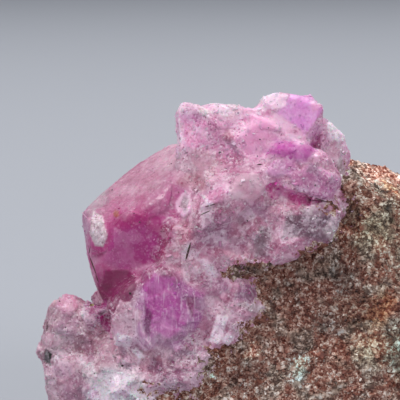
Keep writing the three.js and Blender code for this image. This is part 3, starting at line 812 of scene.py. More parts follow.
# Each cloud: its name, place across and up in the box, width and height in millimetres, turn in
# degrees, softness of its edge, colour and strength. Later clouds lie over earlier ones.
CLOUDS = {
    "left_crystal": [
        ("frosted roof", 0.50, 0.80, 19, 8, 36, 0.45, "heather", 0.95),
        ("pale shoulder", 0.85, 0.95, 6, 4, 30, 0.5, "dusty", 0.9),
        ("dull tip", 0.15, 0.65, 4, 3.5, 40, 0.5, "ash", 0.8),
        ("deep middle", 0.45, 0.55, 8, 5, 10, 0.7, "raspberry", 0.85),
        ("clear heart", 0.70, 0.45, 8, 7, 30, 0.6, "raspberry", 0.95),
        ("clear foot", 0.40, 0.30, 9, 7, 0, 0.6, "raspberry", 0.95),
        ("wine foot", 0.30, 0.10, 6, 4.5, 0, 0.5, "foot", 0.9),
        ("shaded shoulder", 0.90, 0.65, 4, 5, 20, 0.6, "fuchsia", 0.8),
        ("left edge", 0.05, 0.50, 1.6, 4, 0, 0.4, "mauve", 0.8),
    ],
    "crown_crystals": [
        ("pink corner", 0.10, 0.75, 4, 8, 0, 0.6, "candy", 0.9),
        ("sandy cheek", 0.15, 0.50, 6, 5, 30, 0.6, "salmon", 0.9),
        ("pale rim", 0.25, 0.90, 9, 2.5, 0, 0.5, "bone", 0.9),
        ("bright brow", 0.45, 0.80, 6, 3.5, -20, 0.6, "candy", 0.8),
        ("rosy dome", 0.40, 0.65, 5, 5, 0, 0.6, "candy", 0.8),
        ("dull waist", 0.35, 0.50, 6, 3.5, 20, 0.6, "thistle", 0.9),
        ("white peak", 0.55, 0.95, 3.5, 2.2, 20, 0.4, "frost", 0.95),
        ("pearly tip", 0.95, 0.65, 4, 4.5, 0, 0.5, "blush", 0.9),
        ("lilac belly", 0.65, 0.50, 8, 4, 0, 0.6, "thistle", 0.85),
        ("dull jowl", 0.85, 0.45, 6, 5, 0, 0.6, "heather", 0.9),
    ],
    "massive_calcite": [
        ("deep band", 0.30, 0.75, 7, 3, 20, 0.6, "berry", 0.6),
        ("rosy middle", 0.35, 0.60, 7, 3.5, 0, 0.6, "thistle", 0.8),
        ("pale slope", 0.15, 0.65, 2.5, 6, -20, 0.4, "salmon", 0.8),
        ("dull flesh", 0.50, 0.65, 5, 4, 0, 0.6, "heather", 0.7),
        ("petal", 0.15, 0.50, 6, 4, 0, 0.6, "petal", 0.8),
        ("rosy border", 0.45, 0.55, 6, 3, 0, 0.6, "salmon", 0.6),
        ("shaded end", 0.90, 0.70, 6, 5, 0, 0.6, "dusk", 0.95),
    ],
    "violet_crystals": [
        ("dark head", 0.35, 0.85, 4, 5, 0, 0.6, "wine", 0.8),
        ("pale foot", 0.55, 0.10, 6, 2, 0, 0.6, "mauve", 0.8),
    ],
    "tooth_crystal": [
        ("pale heel", 0.60, 0.15, 4, 3.5, 0, 0.6, "blush", 0.8),
    ],
    "lower_left_crystals": [
        ("rosy top", 0.40, 0.95, 4, 2.5, 0, 0.6, "salmon", 0.8),
        ("deep shoulder", 0.70, 0.90, 4, 5, 0, 0.6, "berry", 0.85),
        ("dull knob", 0.20, 0.75, 3, 3, 0, 0.5, "ash", 0.7),
        ("lilac field", 0.35, 0.50, 7, 8, 0, 0.6, "dusty", 0.7),
    ],
    "cleaved_crystals": [
        ("purple stain", 0.65, 0.35, 3, 3, 0, 0.6, "plum", 0.6),
        ("rosy waist", 0.45, 0.45, 6, 4, 0, 0.6, "salmon", 0.7),
        ("dull side", 0.80, 0.45, 4, 3, 0, 0.6, "heather", 0.8),
    ],
    "host_rock": [
        # painted shade: the rock's broad upper shoulder darkened to loam brown
        ("brown shoulder", 0.85, 0.80, 15, 14, -20, 0.7, "loam", 0.8),
        ("tan shoulder", 0.75, 0.80, 6, 6, 30, 0.6, "tan", 0.6),
        # the rock's top edge in pale cream: partly its cream grains, partly painted highlight where the
        # top catches the light
        ("cream crest", 0.78, 0.96, 11, 2.8, -25, 0.5, "cream", 0.9),
        ("ochre crest", 0.80, 0.92, 4, 1.4, -25, 0.5, "ochre", 0.7),
        # partly cream grains, partly painted highlight on the rock's top corner
        ("cream corner", 0.70, 1.00, 3, 1.6, 0, 0.4, "cream", 0.9),
        ("dark gully", 0.70, 0.85, 2.4, 6.5, -10, 0.5, "peat", 0.8),
        ("sandy step", 0.68, 0.79, 2.5, 1.6, 0, 0.4, "sand", 0.9),
        ("brown middle", 0.65, 0.62, 8, 5, 10, 0.7, "earth", 0.8),
        ("russet field", 0.60, 0.70, 5, 3, -20, 0.6, "russet", 0.8),
        ("ochre streak", 0.53, 0.66, 4, 1.4, -10, 0.4, "ochre", 0.9),
        ("black nest", 0.51, 0.62, 2, 1.3, 0, 0.3, "coal", 0.9),
        ("brown knob", 0.46, 0.60, 2.4, 1.6, 0, 0.5, "earth", 0.8),
        ("ochre side", 0.77, 0.54, 3, 5, -30, 0.6, "ochre", 0.6),
        ("dark side", 0.72, 0.54, 7, 6, 20, 0.7, "peat", 0.6),
        ("sandy bar", 0.50, 0.43, 7, 1.8, 18, 0.5, "sand", 0.85),
        ("black seed", 0.58, 0.42, 1.8, 1.2, 0, 0.3, "coal", 0.9),
        ("chalk spot", 0.61, 0.40, 1.8, 1.2, -15, 0.3, "chalk", 0.9),
        ("grey patch", 0.58, 0.36, 3, 4.5, 0, 0.6, "slate", 0.7),
        ("brown hollow", 0.64, 0.50, 5, 4, 0, 0.7, "earth", 0.7),
        ("russet patch", 0.68, 0.40, 3.5, 4, 0, 0.6, "russet", 0.6),
        ("tan patch", 0.75, 0.42, 5, 5, 0, 0.6, "tan", 0.7),
        ("mossy side", 0.82, 0.40, 4, 8, 10, 0.6, "moss", 0.7),
        ("grey crumb", 0.37, 0.33, 2, 1.4, 0, 0.4, "slate", 0.8),
        ("dark ledge", 0.40, 0.40, 4, 2, 10, 0.6, "russet", 0.8),
        ("brown ledge", 0.45, 0.34, 6, 5, 0, 0.7, "earth", 0.6),
    ],
}


def cloud_share(places, node, across, up, width, height, turn, soft):
    """How much of a cloud's colour each place has, from 0 to 1."""
    low, size = box_corners(node)
    dx = places[:, 0] - (low[0] + across * size[0])
    dz = places[:, 1] - (low[2] + up * size[2])
    turn = math.radians(turn)
    along = (dx * math.cos(turn) + dz * math.sin(turn)) / (width / 2)
    over = (dz * math.cos(turn) - dx * math.sin(turn)) / (height / 2)
    return smooth_step((1 + soft - np.hypot(along, over)) / (2 * soft))


def standing_out(mesh, steps):
    """How far each vertex lies in front of the mean of its surroundings, in millimetres."""
    places = vertex_values(mesh, "co")
    ends, counts = neighbours_of(mesh)
    mean = places
    for _ in range(steps):
        mean = neighbour_mean(mean, ends, counts)
    return ((places - mean) * vertex_values(mesh, "normal")).sum(1)


def lay_over(colour, share, hex_colour):
    colour += share[:, None] * (linear(hex_colour) - colour)


def store(mesh, name, values):
    """Keeps one number or one colour per vertex on the mesh."""
    if values.ndim == 1:
        mesh.attributes.new(name, "FLOAT", "POINT").data.foreach_set("value", values)
    else:
        full = np.column_stack([values, np.ones(len(values))])
        mesh.color_attributes.new(name, "FLOAT_COLOR", "POINT").data.foreach_set("color", full.ravel())


def paint(mesh, known):
    """Stores the stones' colours, and how much of each kind of surface it is, on every vertex."""
    shares = known["shares"]
    crystals = shares.copy()
    crystals[:, ROCK] = 0
    crystals[:, NODE_NAMES.index("massive_calcite")] += 0.0001
    tint = crystals @ GROUND_TABLE / crystals.sum(axis=1, keepdims=True)
    rock_tint = np.ones((len(tint), 3)) * GROUND_TABLE[ROCK]
    bases = [Vector(base) for base in known["bases"]]
    bent = bent_places(bases, CLOUD_BEND)
    for name, clouds in CLOUDS.items():
        for _, *shape, colour, strength in clouds:
            share = strength * cloud_share(bent, name, *shape)
            lay_over(rock_tint if name == "host_rock" else tint, share, PALETTE[colour])
    for share, (*_, colour, strength) in zip(known["faces"].T, ALL_FACES):
        lay_over(tint, strength * share, PALETTE[colour])
    rock = shares[:, ROCK].copy()
    for share, (*_, rocky, colour) in zip(known["rocky"].T, ALL_ROCKY):
        lay_over(rock_tint, share, PALETTE[colour])
        rock += share * (rocky - rock)
    ends, counts = neighbours_of(mesh)
    for _ in range(BORDER_ROUNDS):
        rock = neighbour_mean(rock[:, None], ends, counts)[:, 0]
    rock *= 1 - known["clean"]
    # rock patches keep the grains' own hue: only so much lighter or darker than the ground
    patch = np.minimum((rock_tint / GROUND_TABLE[ROCK]) ** PATCH_CALM, PATCH_MOST)
    rock_tint = GROUND_TABLE[ROCK] * patch
    # convex edges painted paler: partly frost on the edges, partly painted highlight for light that
    # scatters out of thin edges
    edge = np.clip((standing_out(mesh, 4) - EDGE_FROM) / EDGE_WIDTH, 0, 1)
    lay_over(tint, EDGE_FROST_AND_HIGHLIGHT * edge, FROST_HEX)
    store(mesh, "tint", tint)
    store(mesh, "rock_tint", rock_tint)
    store(mesh, "rock", rock)
    clear = 1 - MILKY_CALM * known["milky"]
    broken = clear * (shares @ BROKEN_TABLE)
    store(mesh, "broken", np.maximum(broken, known["frosty"]))
    sugar = clear * (1 - CLEAN_SUGAR * known["clean"]) * (shares @ SUGAR_TABLE)
    store(mesh, "sugar", np.maximum(sugar, known["frosty"]))
    store(mesh, "seam", known["seam"])
    for column, name in enumerate(("facet", "chip", "border")):
        store(mesh, name, known["facets"][:, column])

# %% [markdown]
# ## Materials
# Calcite is a soft, clear stone with an index of refraction of 1.66. Here it is milky with tiny
# cleavage cracks, so light enters, scatters for about a millimetre and comes out pink. The eye also
# sees small flat facets that flash, sugar-sized frosting and a few black specks of ore.
#
# The host rock is a fine sugar of brown, cream and near-black grains. At the border the two stones
# grow through each other grain by grain, so one material holds both, and the share of rock that is
# stored on the mesh, torn by noise, decides between them.

# %% Materials from nodes
TIMES = {"operation": "MULTIPLY"}
PLUS = {"operation": "ADD"}
SCALED = {"operation": "SCALE"}
LARGER = {"operation": "MAXIMUM"}
EASED = {"interpolation_type": "SMOOTHSTEP"}
OVERLAID = {"data_type": "RGBA"}
DARKENED = {"data_type": "RGBA", "blend_type": "MULTIPLY"}
CENTRED = (-0.5, -0.5, -0.5)


def node(tree, kind, links=(), out=0, **settings):
    """Adds a node, sets its properties, sets or links its inputs, and gives back one output."""
    made = tree.nodes.new("ShaderNode" + kind)
    for name, value in settings.items():
        setattr(made, name, value)
    for socket, source in links.items() if isinstance(links, dict) else enumerate(links):
        if isinstance(source, bpy.types.NodeSocket):
            tree.links.new(source, made.inputs[socket])
        elif isinstance(source, np.ndarray):
            made.inputs[socket].default_value = (*source, 1)
        else:
            made.inputs[socket].default_value = source
    return made.outputs[out] if made.outputs else None


def new_material(name):
    material = bpy.data.materials.new(name)
    material.use_nodes = True
    material.node_tree.nodes.clear()
    return material, material.node_tree


def millimetres(tree):
    """Places on the piece in millimetres, so every pattern has its real size."""
    place = node(tree, "TexCoord", out="Object")
    return node(tree, "VectorMath", {0: place, 3: 1 / MM}, **SCALED)


def layered(tree, colour, layers):
    """Lays each layer's colour over what is there, by that layer's share."""
    for share, over in layers:
        colour = node(tree, "Mix", {0: share, 6: colour, 7: over}, 2, **OVERLAID)
    return colour


def patches(tree, in_mm, size, detail, low, high, start=0.0, end=1.0):
    """Soft patches of about this size in millimetres, where noise passes from low to high."""
    cloud = node(tree, "TexNoise", {"Vector": in_mm, "Scale": 1 / size, "Detail": detail}, "Fac")
    return node(tree, "MapRange", (cloud, low, high, start, end), **EASED)


def cells_of(tree, in_mm, size, bend):
    """Random cells of about this size in millimetres, with bent borders: each cell's random colour."""
    swirl = node(tree, "TexNoise", {"Vector": in_mm, "Scale": 1.3 / size}, "Color")
    offset = node(tree, "VectorMath", (swirl, CENTRED), **PLUS)
    push = node(tree, "VectorMath", {0: offset, 3: bend * size}, **SCALED)
    spot = node(tree, "VectorMath", (in_mm, push), **PLUS)
    return node(tree, "TexVoronoi", {"Vector": spot, "Scale": 1 / size}, "Color")


def tipped(tree, normal, cells, tilt):
    """The normal tipped by each cell's own random lean."""
    lean = node(tree, "VectorMath", (cells, CENTRED), **PLUS)
    lean = node(tree, "VectorMath", {0: lean, 3: tilt}, **SCALED)
    summed = node(tree, "VectorMath", (normal, lean), **PLUS)
    return node(tree, "VectorMath", (summed,), operation="NORMALIZE")

# %% [markdown]
# Calcite first. Over the stone's own tint come milky and deeper clouds, facets that differ a little in
# brightness, thin frosted cracks, sugar-like crumbs of frost with pits between them, and specks of
# ore. Facets and crumbs also tip the normal, which is what makes broken calcite glitter.

# %% Calcite
SCATTER_RADIUS = (1.0, 0.5, 0.75)
SPECK = linear("#4a2433")
PIT = linear("#caa2ba")
BROAD_CELL = 2.2
FINE_CELL = 0.55
CRUMB = 0.26


def calcite_shader(tree, in_mm, striated):
    tint = node(tree, "Attribute", out="Color", attribute_name="tint")
    broken, sugar, facet, chip, border, seam = (
        node(tree, "Attribute", out="Fac", attribute_name=name)
        for name in ("broken", "sugar", "facet", "chip", "border", "seam")
    )
    squared = node(tree, "Mix", {0: 1.0, 6: tint, 7: tint}, 2, **DARKENED)
    paler = layered(tree, tint, [(0.6, FROST)])
    deeper = layered(tree, tint, [(0.8, squared)])
    pitted = node(tree, "Mix", {0: 1.0, 6: deeper, 7: PIT}, 2, **DARKENED)
    colour = layered(tree, tint, [
        (patches(tree, in_mm, 3.2, 3, 0.5, 0.75, 0, 0.4), paler),
        (patches(tree, in_mm, 1.4, 5, 0.5, 0.25, 0, 0.3), deeper),
    ])
    # facets that differ a little in brightness
    broad = cells_of(tree, in_mm, BROAD_CELL, 0.4)
    fine = cells_of(tree, in_mm, FINE_CELL, 0.4)
    fine_lot = node(tree, "SeparateColor", (fine,))
    for lot, strength in ((facet, 0.65), (chip, 0.5), (fine_lot, 0.12)):
        light = node(tree, "MapRange", (lot, 0, 1, -strength, strength), **EASED)
        light = node(tree, "Math", (light, broken), **TIMES)
        shade = node(tree, "Math", (light, -1), **TIMES)
        for amount, over in ((light, paler), (shade, deeper)):
            colour = layered(tree, colour, [(node(tree, "Math", (amount, 0), **LARGER), over)])
    # thin frosted cracks between the broad facets
    crack = node(tree, "MapRange", (border, 0.10, 0.02, 0, 1), **EASED)
    for share in (patches(tree, in_mm, 1.5, 2, 0.5, 0.65, 0, 0.5), broken):
        crack = node(tree, "Math", (crack, share), **TIMES)
    colour = layered(tree, colour, [(crack, FROST)])
    # sugar: crumbs of frost a quarter of a millimetre wide, with deeper stone in the pits between them
    crumbs = cells_of(tree, in_mm, CRUMB, 0.8)
    crumb = node(tree, "SeparateColor", (crumbs,))
    grain = node(tree, "TexNoise", {"Vector": in_mm, "Scale": 1 / 0.3, "Detail": 3}, "Fac")
    sugar = node(tree, "Math", (sugar, patches(tree, in_mm, 2.0, 3, 0.38, 0.6, 0.35, 1)), **TIMES)
    for lot, low, high, most, over in (
        (crumb, 0.75, 0.98, 0.60, FROST),
        (crumb, 0.22, 0.03, 0.70, pitted),
        (grain, 0.55, 0.70, 0.35, FROST),
        (grain, 0.45, 0.30, 0.45, pitted),
    ):
        share = node(tree, "MapRange", (lot, low, high, 0, most), **EASED)
        share = node(tree, "Math", (share, sugar), **TIMES)
        colour = layered(tree, colour, [(share, over)])
    if striated:
        long = node(tree, "VectorMath", (in_mm, (3, 3, 0.18)), **TIMES)
        stripe = node(tree, "TexNoise", {"Vector": long, "Scale": 1, "Detail": 4}, "Fac")
        for low, high, over in ((0.5, 0.3, deeper), (0.55, 0.75, FROST)):
            share = node(tree, "MapRange", (stripe, low, high, 0, striated), **EASED)
            colour = layered(tree, colour, [(share, over)])
    # specks of ore: one dot in a few of the cells
    away = node(tree, "TexVoronoi", {"Vector": in_mm, "Scale": 1 / 0.8}, "Distance")
    speck = node(tree, "MapRange", (away, 0.15, 0.1, 0, 1), **EASED)
    chosen = node(tree, "SeparateColor", (away.node.outputs["Color"],))
    chosen = node(tree, "MapRange", (chosen, 0.86, 0.88, 0, 1), **EASED)
    for share in (chosen, patches(tree, in_mm, 4, 1, 0.45, 0.55)):
        speck = node(tree, "Math", (speck, share), **TIMES)
    colour = layered(tree, colour, [(speck, SPECK)])
    # the facets' glints and a fine grain
    facing = node(tree, "NewGeometry", out="Normal")
    for cells, much, most in ((broad, broken, 0.5), (fine, broken, 0.35), (crumbs, sugar, 0.5)):
        facing = tipped(tree, facing, cells, node(tree, "Math", (much, most), **TIMES))
    bump = {"Height": grain, "Strength": 0.35, "Distance": 0.15 * MM, "Normal": facing}
    return node(tree, "BsdfPrincipled", {
        "Base Color": colour,
        "Roughness": node(tree, "MapRange", (fine_lot, 0.2, 0.8, 0.3, 0.6), **EASED),
        "IOR": 1.6,
        "Normal": node(tree, "Bump", bump),
        "Subsurface Weight": node(tree, "MapRange", (seam, 0, 1, 0.8, 0), **EASED),
        "Subsurface Radius": SCATTER_RADIUS,
        "Subsurface Scale": 0.6 * MM,
    })

# %% [markdown]
# The host rock is a sugar of rusty grains in some places and dusky ones in others. Lumps, clumps and
# single grains add up to one value, and a ramp of seven grain colours turns it into stone.

# %% Host rock
RUSTY_GRAINS = ("#2a1411", "#4c251d", "#6c382c", "#88503f", "#a67666", "#cba998", "#efdfd4")
DUSKY_GRAINS = ("#281e1a", "#44332c", "#604a40", "#7d665a", "#9f8778", "#c9b4a5", "#eadfd6")
GRAIN_CELL = 0.22


def rock_colour(tree, in_mm, tint, grain):
    """Sugar of rusty and dusky grains in lumps and clumps, and how light each spot is."""
    lumps = node(tree, "TexNoise", {"Vector": in_mm, "Scale": 1 / 1.6, "Detail": 3}, "Fac")
    clumps = node(tree, "TexNoise", {"Vector": in_mm, "Scale": 1 / 0.7, "Detail": 2}, "Fac")
    mix = node(tree, "Math", (clumps, 1.1), **TIMES)
    for part, weight in ((grain, 0.5), (lumps, 0.7)):
        mix = node(tree, "Math", (mix, node(tree, "Math", (part, weight), **TIMES)), **PLUS)
    spread = node(tree, "MapRange", (mix, 0.6, 1.5))
    sugars = []
    for hex_colours in (RUSTY_GRAINS, DUSKY_GRAINS):
        sugars.append(node(tree, "ValToRGB", (spread,)))
        bar = sugars[-1].node.color_ramp
        steps = len(hex_colours) - 1
        for step in range(1, steps):
            bar.elements.new(step / steps)
        for element, hex_colour in zip(bar.elements, hex_colours):
            element.color = (*linear(hex_colour), 1)
    rusty, dusky = sugars
    colour = layered(tree, rusty, [(patches(tree, in_mm, 3.5, 4, 0.46, 0.62), dusky)])
    for factor in (tint, tuple(1 / GROUND_TABLE[ROCK])):
        colour = node(tree, "VectorMath", (colour, factor), **TIMES)
    return colour, mix


def rock_shader(tree, in_mm):
    grains = cells_of(tree, in_mm, GRAIN_CELL, 0.7)
    grain = node(tree, "SeparateColor", (grains,))
    tint = node(tree, "Attribute", out="Color", attribute_name="rock_tint")
    colour, mix = rock_colour(tree, in_mm, tint, grain)
    facing = tipped(tree, node(tree, "NewGeometry", out="Normal"), grains, 0.8)
    bump = {"Height": mix, "Strength": 0.7, "Distance": 0.35 * MM, "Normal": facing}
    return node(tree, "BsdfPrincipled", {
        "Base Color": colour,
        "Roughness": node(tree, "MapRange", (grain, 0.1, 0.5, 0.25, 0.6), **EASED),
        "IOR": 1.5,
        "Normal": node(tree, "Bump", bump),
    })


def stone(name, striated=0.0):
    """Calcite that turns into host rock where the mesh says so, torn by noise along the border."""
    material, tree = new_material(name)
    in_mm = millimetres(tree)
    tear = patches(tree, in_mm, 0.8, 4, 0.3, 0.7, -0.45, 0.45)
    rock = node(tree, "Attribute", out="Fac", attribute_name="rock")
    torn = node(tree, "Math", (rock, tear), **PLUS)
    share = node(tree, "MapRange", (torn, 0.44, 0.56, 0, 1), **EASED)
    shaders = (share, calcite_shader(tree, in_mm, striated), rock_shader(tree, in_mm))
    node(tree, "OutputMaterial", {"Surface": node(tree, "MixShader", shaders)})
    return material

# %% Loose grains
def rock_sugar():
    """Loose grains of the rock: one colour to a grain, some clear enough to flash."""
    material, tree = new_material("rock_sugar")
    lot = node(tree, "Attribute", out="Fac", attribute_name="lot")
    tint = node(tree, "Attribute", out="Color", attribute_name="tint")
    colour, _ = rock_colour(tree, millimetres(tree), tint, lot)
    shader = node(tree, "BsdfPrincipled", {
        "Base Color": colour,
        "Roughness": node(tree, "MapRange", (lot, 0.7, 1, 0.6, 0.2), **EASED),
        "IOR": 1.5,
    })
    node(tree, "OutputMaterial", {"Surface": shader})
    return material


def calcite_sugar():
    """Cleavage chips on the crust: paler or deeper than the stone under them, with a glassy face."""
    material, tree = new_material("calcite_sugar")
    lot = node(tree, "Attribute", out="Fac", attribute_name="lot")
    tint = node(tree, "Attribute", out="Color", attribute_name="tint")
    squared = node(tree, "Mix", {0: 1.0, 6: tint, 7: tint}, 2, **DARKENED)
    colour = layered(tree, tint, [
        (node(tree, "MapRange", (lot, 0.6, 1, 0, 0.5), **EASED), FROST),
        (node(tree, "MapRange", (lot, 0.4, 0, 0, 0.5), **EASED), layered(tree, tint, [(0.5, squared)])),
    ])
    shader = node(tree, "BsdfPrincipled", {
        "Base Color": colour,
        "Roughness": node(tree, "MapRange", (lot, 0.6, 1, 0.5, 0.2), **EASED),
        "IOR": 1.5,
        "Subsurface Weight": 0.8,
        "Subsurface Radius": SCATTER_RADIUS,
        "Subsurface Scale": 0.5 * MM,
    })
    node(tree, "OutputMaterial", {"Surface": shader})
    return material


def plain(name, hex_colour, roughness):
    """A mineral of one colour, in grains too small to show more than a speckle."""
    material, tree = new_material(name)
    light = linear(hex_colour)
    colour = layered(tree, light * 0.75, [(patches(tree, millimetres(tree), 0.15, 2, 0.35, 0.65), light)])
    shader = node(tree, "BsdfPrincipled", {"Base Color": colour, "Roughness": roughness, "IOR": 1.6})
    node(tree, "OutputMaterial", {"Surface": shader})
    return material

# %% [markdown]
# ## The pieces
# Each node gets its piece, in the finish that the record names for it. What the later steps need of
# every piece is kept: its mesh, and which of its vertices are in sight.

# %% Pieces
PIECES = {
    "left_crystal": ("magenta_calcite", 0.22),
    "crown_crystals": ("pink_calcite", 0.21),
    "massive_calcite": ("pink_calcite", 0.21),
    "violet_crystals": ("violet_calcite", 0.2),
    "tooth_crystal": ("pink_calcite", 0.2),
    "lower_left_crystals": ("pink_calcite", 0.21),
    "white_crystals": ("white_calcite", 0.21),
    "cleaved_crystals": ("pink_calcite", 0.21),
    "flank_crystals": ("pink_calcite", 0.28),
    "host_rock": ("host_rock", 0.37),
}
# The four calcites differ in the colours stored on their skins, and the violet one has growth lines
# along it, which catch the light as fine stripes. The ore is a dark oxide whose grains look like
# pepper with a dull glint. Rust is limonite in cracks, a thin brown-black line; the same finish also
# draws one dark line of painted shade under the crown's overhang. Frost is freshly broken cleavage,
# so bright that it reads as white, and its chips also stand in as painted glints.
finishes = {
    "pink_calcite": stone("pink_calcite"),
    "magenta_calcite": stone("magenta_calcite"),
    "violet_calcite": stone("violet_calcite", striated=0.5),
    "white_calcite": stone("white_calcite"),
    "host_rock": stone("host_rock"),
    "rock_sugar": rock_sugar(),
    "calcite_sugar": calcite_sugar(),
    "ore": plain("ore", "#35161c", 0.35),
    "rust": plain("rust", "#4a2a1e", 0.4),
    "frost": plain("frost", "#f6e2ee", 0.35),
}
skins = {}
in_sight = {}


def add_piece(mesh, name, finish, replaced=()):
    """Shows a mesh as a piece of the specimen, in place of these nodes."""
    mesh.materials.append(finishes[finish])
    piece = bpy.data.objects.new(name, mesh)
    bpy.context.collection.objects.link(piece)
    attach(piece, "root")
    if replaced:
        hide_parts(*replaced)


def add_made(work, name, finish):
    """Shows what a bmesh in millimetres holds as a piece."""
    mesh = mesh_of(work, name)
    mesh.transform(Matrix.Scale(MM, 4))
    add_piece(mesh, name, finish)


for name, (finish, voxel) in PIECES.items():
    mesh, known = drawn_skin(name, voxel)
    paint(mesh, known)
    mesh.transform(Matrix.Scale(MM, 4))
    add_piece(mesh, name + "_skin", finish, [name])
    skins[name] = mesh
    in_sight[name] = known["drawn"]
    print(name, len(mesh.polygons), "faces,", round(100 * known["drawn"].mean()), "% in sight")

# %% [markdown]
# ## Sugar and chips
# The rock is a sugar of grains about a quarter of a millimetre across, and the crust is dusted with tiny
# cleavage chips that lie nearly parallel, so they flash together. Both are real grains: small rhombs
# half sunk in the skin, thousands in one mesh, each with a random number of its own for its colour.

# %% Scatter grains
ROCK_FROM = 0.6
CRUST_TO = 0.35
ABOVE_FLOOR = 0.6
LATTICE = np.array(rhomb_matrix(Vector(), (1, 1, 1), (0, 0, 1), 0))[:3, :3]


def cubes(count, name):
    """This many unit cubes in one mesh. An operator goes through the whole mesh each time it is called,
    so the cubes are doubled until there are enough, and not added one by one."""
    work = bmesh.new()
    bmesh.ops.create_cube(work, size=1)
    have = 1
    while have < count:
        more = min(have, count - have)
        some = work.verts[:8 * more] + work.edges[:12 * more] + work.faces[:6 * more]
        bmesh.ops.duplicate(work, geom=some)
        have += more
    return mesh_of(work, name)


def turned_lattices(count, axis, wild, luck):
    """Rhomb lattices near one direction, wilder for a bigger number."""
    away = Vector(axis).to_track_quat("Z", "Y")
    matrices = np.empty((count, 3, 3))
    for row in range(count):
        spin = Vector(luck.normal(0, wild, 3))
        turn = Matrix.Rotation(spin.length, 3, spin)
        matrices[row] = np.array(turn @ away.to_matrix()) @ LATTICE
    return matrices


def face_values(mesh, name):
    """The mean of a stored vertex value over each face."""
    layer = mesh.attributes[name]
    if layer.data_type == "FLOAT":
        values = np.empty(len(mesh.vertices))
        layer.data.foreach_get("value", values)
        values = values[:, None]
    else:
        values = np.empty(len(mesh.vertices) * 4)
        layer.data.foreach_get("color", values)
        values = values.reshape(-1, 4)[:, :3]
    return values[corners_of(mesh)].mean(axis=1)


def scatter(name, sources, density, size, wild, sunk, rocky, finish, seed):
    """Sows rhombs over the open faces of these pieces, density grains to a square millimetre."""
    luck = np.random.default_rng(seed)
    found = {"place": [], "out": [], "tint": []}
    for source, share in sources.items():
        mesh = skins[source]
        spots = vertex_values(mesh, "co") / MM
        quads = corners_of(mesh)
        areas = np.empty(len(mesh.polygons))
        mesh.polygons.foreach_get("area", areas)
        outs = np.empty(len(mesh.polygons) * 3)
        mesh.polygons.foreach_get("normal", outs)
        rock = face_values(mesh, "rock")[:, 0]
        fit = in_sight[source][quads].all(axis=1) & ((rock > ROCK_FROM) if rocky else (rock < CRUST_TO))
        fit &= spots[quads[:, 0], 2] > ABOVE_FLOOR
        weights = areas * fit / MM ** 2
        count = int(weights.sum() * density * share)
        picked = luck.choice(len(quads), size=count, p=weights / weights.sum())
        blend = luck.dirichlet(np.ones(4), len(picked))
        found["place"].append((spots[quads[picked]] * blend[:, :, None]).sum(axis=1))
        found["out"].append(outs.reshape(-1, 3)[picked])
        found["tint"].append(face_values(mesh, "rock_tint" if rocky else "tint")[picked])
    places, outs, tints = (np.concatenate(found[key]) for key in ("place", "out", "tint"))
    count = len(places)
    sizes = size * luck.lognormal(0, 0.3, count)
    edges = sizes[:, None] * luck.uniform(0.6, 1.4, (count, 3))
    lattices = turned_lattices(count, UP_AND_OUT, wild, luck) * edges[:, None, :]
    mesh = cubes(count, name)
    shapes = np.einsum("nck,njk->ncj", vertex_values(mesh, "co").reshape(-1, 8, 3), lattices)
    points = shapes + (places - outs * (sizes * sunk)[:, None])[:, None, :]
    points[:, :, 2] = points[:, :, 2].clip(0)
    mesh.vertices.foreach_set("co", (points * MM).ravel())
    mesh.update()
    store(mesh, "lot", np.repeat(luck.uniform(0, 1, count), 8))
    store(mesh, "tint", np.repeat(tints, 8, axis=0))
    add_piece(mesh, name, finish)
    print(name, count, "grains")


ROCKY_PIECES = {"host_rock": 1.0, "massive_calcite": 1.0}
SUGARED = {
    "crown_crystals": 0.8,
    "massive_calcite": 1.0,
    "lower_left_crystals": 1.0,
    "white_crystals": 2.0,
    "cleaved_crystals": 1.2,
    "flank_crystals": 1.0,
    "left_crystal": 0.05,
    "tooth_crystal": 0.3,
    "violet_crystals": 0.1,
}
scatter("rock_grains_a", ROCKY_PIECES, 2.7, 0.22, 1.2, 0.15, True, "rock_sugar", 21)
scatter("rock_grains_b", ROCKY_PIECES, 2.7, 0.27, 1.2, 0.15, True, "rock_sugar", 24)
scatter("rock_grains_c", ROCKY_PIECES, 1.2, 0.40, 1.2, 0.25, True, "rock_sugar", 22)
scatter("calcite_chips", SUGARED, 1.2, 0.26, 0.5, 0.36, False, "calcite_sugar", 23)

# %% [markdown]
# ## Needles, ore and bright chips
# A few thin dark needles lie on the crust, with one dark line of painted shade under the crown's
# overhang. Each is found by looking from the front through a share of a node's box, until the look
# meets the skin. Black-brown grains of ore and frosted chips lie scattered over the crystals by a
# seeded rule; the chips' near-white colour is partly painted glints.

# %% Find a place on the skin
skin_points = []
skin_corners = []
for mesh in skins.values():
    first = len(skin_points)
    skin_points.extend(vertex.co / MM for vertex in mesh.vertices)
    skin_corners.extend([first + corner for corner in face.vertices] for face in mesh.polygons)
skin_tree = BVHTree.FromPolygons(skin_points, skin_corners)


def in_front(name, across, up):
    """The place on the skin seen from the front at this share of the node's box, and its normal."""
    low, size = box_corners(name)
    start = Vector((low[0] + across * size[0], -40, low[2] + up * size[2]))
    place, outward, _, _ = skin_tree.ray_cast(start, Vector((0, 1, 0)))
    if place is None:
        middle = Vector((start.x, low[1] + 0.4 * size[1], start.z))
        place, outward, _, _ = skin_tree.find_nearest(middle)
    return place, outward


def add_grain(work, place, outward, radius, luck):
    turn = Matrix.Rotation(luck.uniform(0, math.tau), 4, Vector(luck.normal(0, 1, 3)))
    squash = Matrix.Diagonal((*luck.uniform(0.6, 1.4, 3), 1))
    at = Matrix.Translation(place - outward * radius * 0.3)
    bmesh.ops.create_icosphere(work, subdivisions=1, radius=radius, matrix=at @ turn @ squash)


SLIVER_STEPS = 6
SLIVER_TIP = 0.02


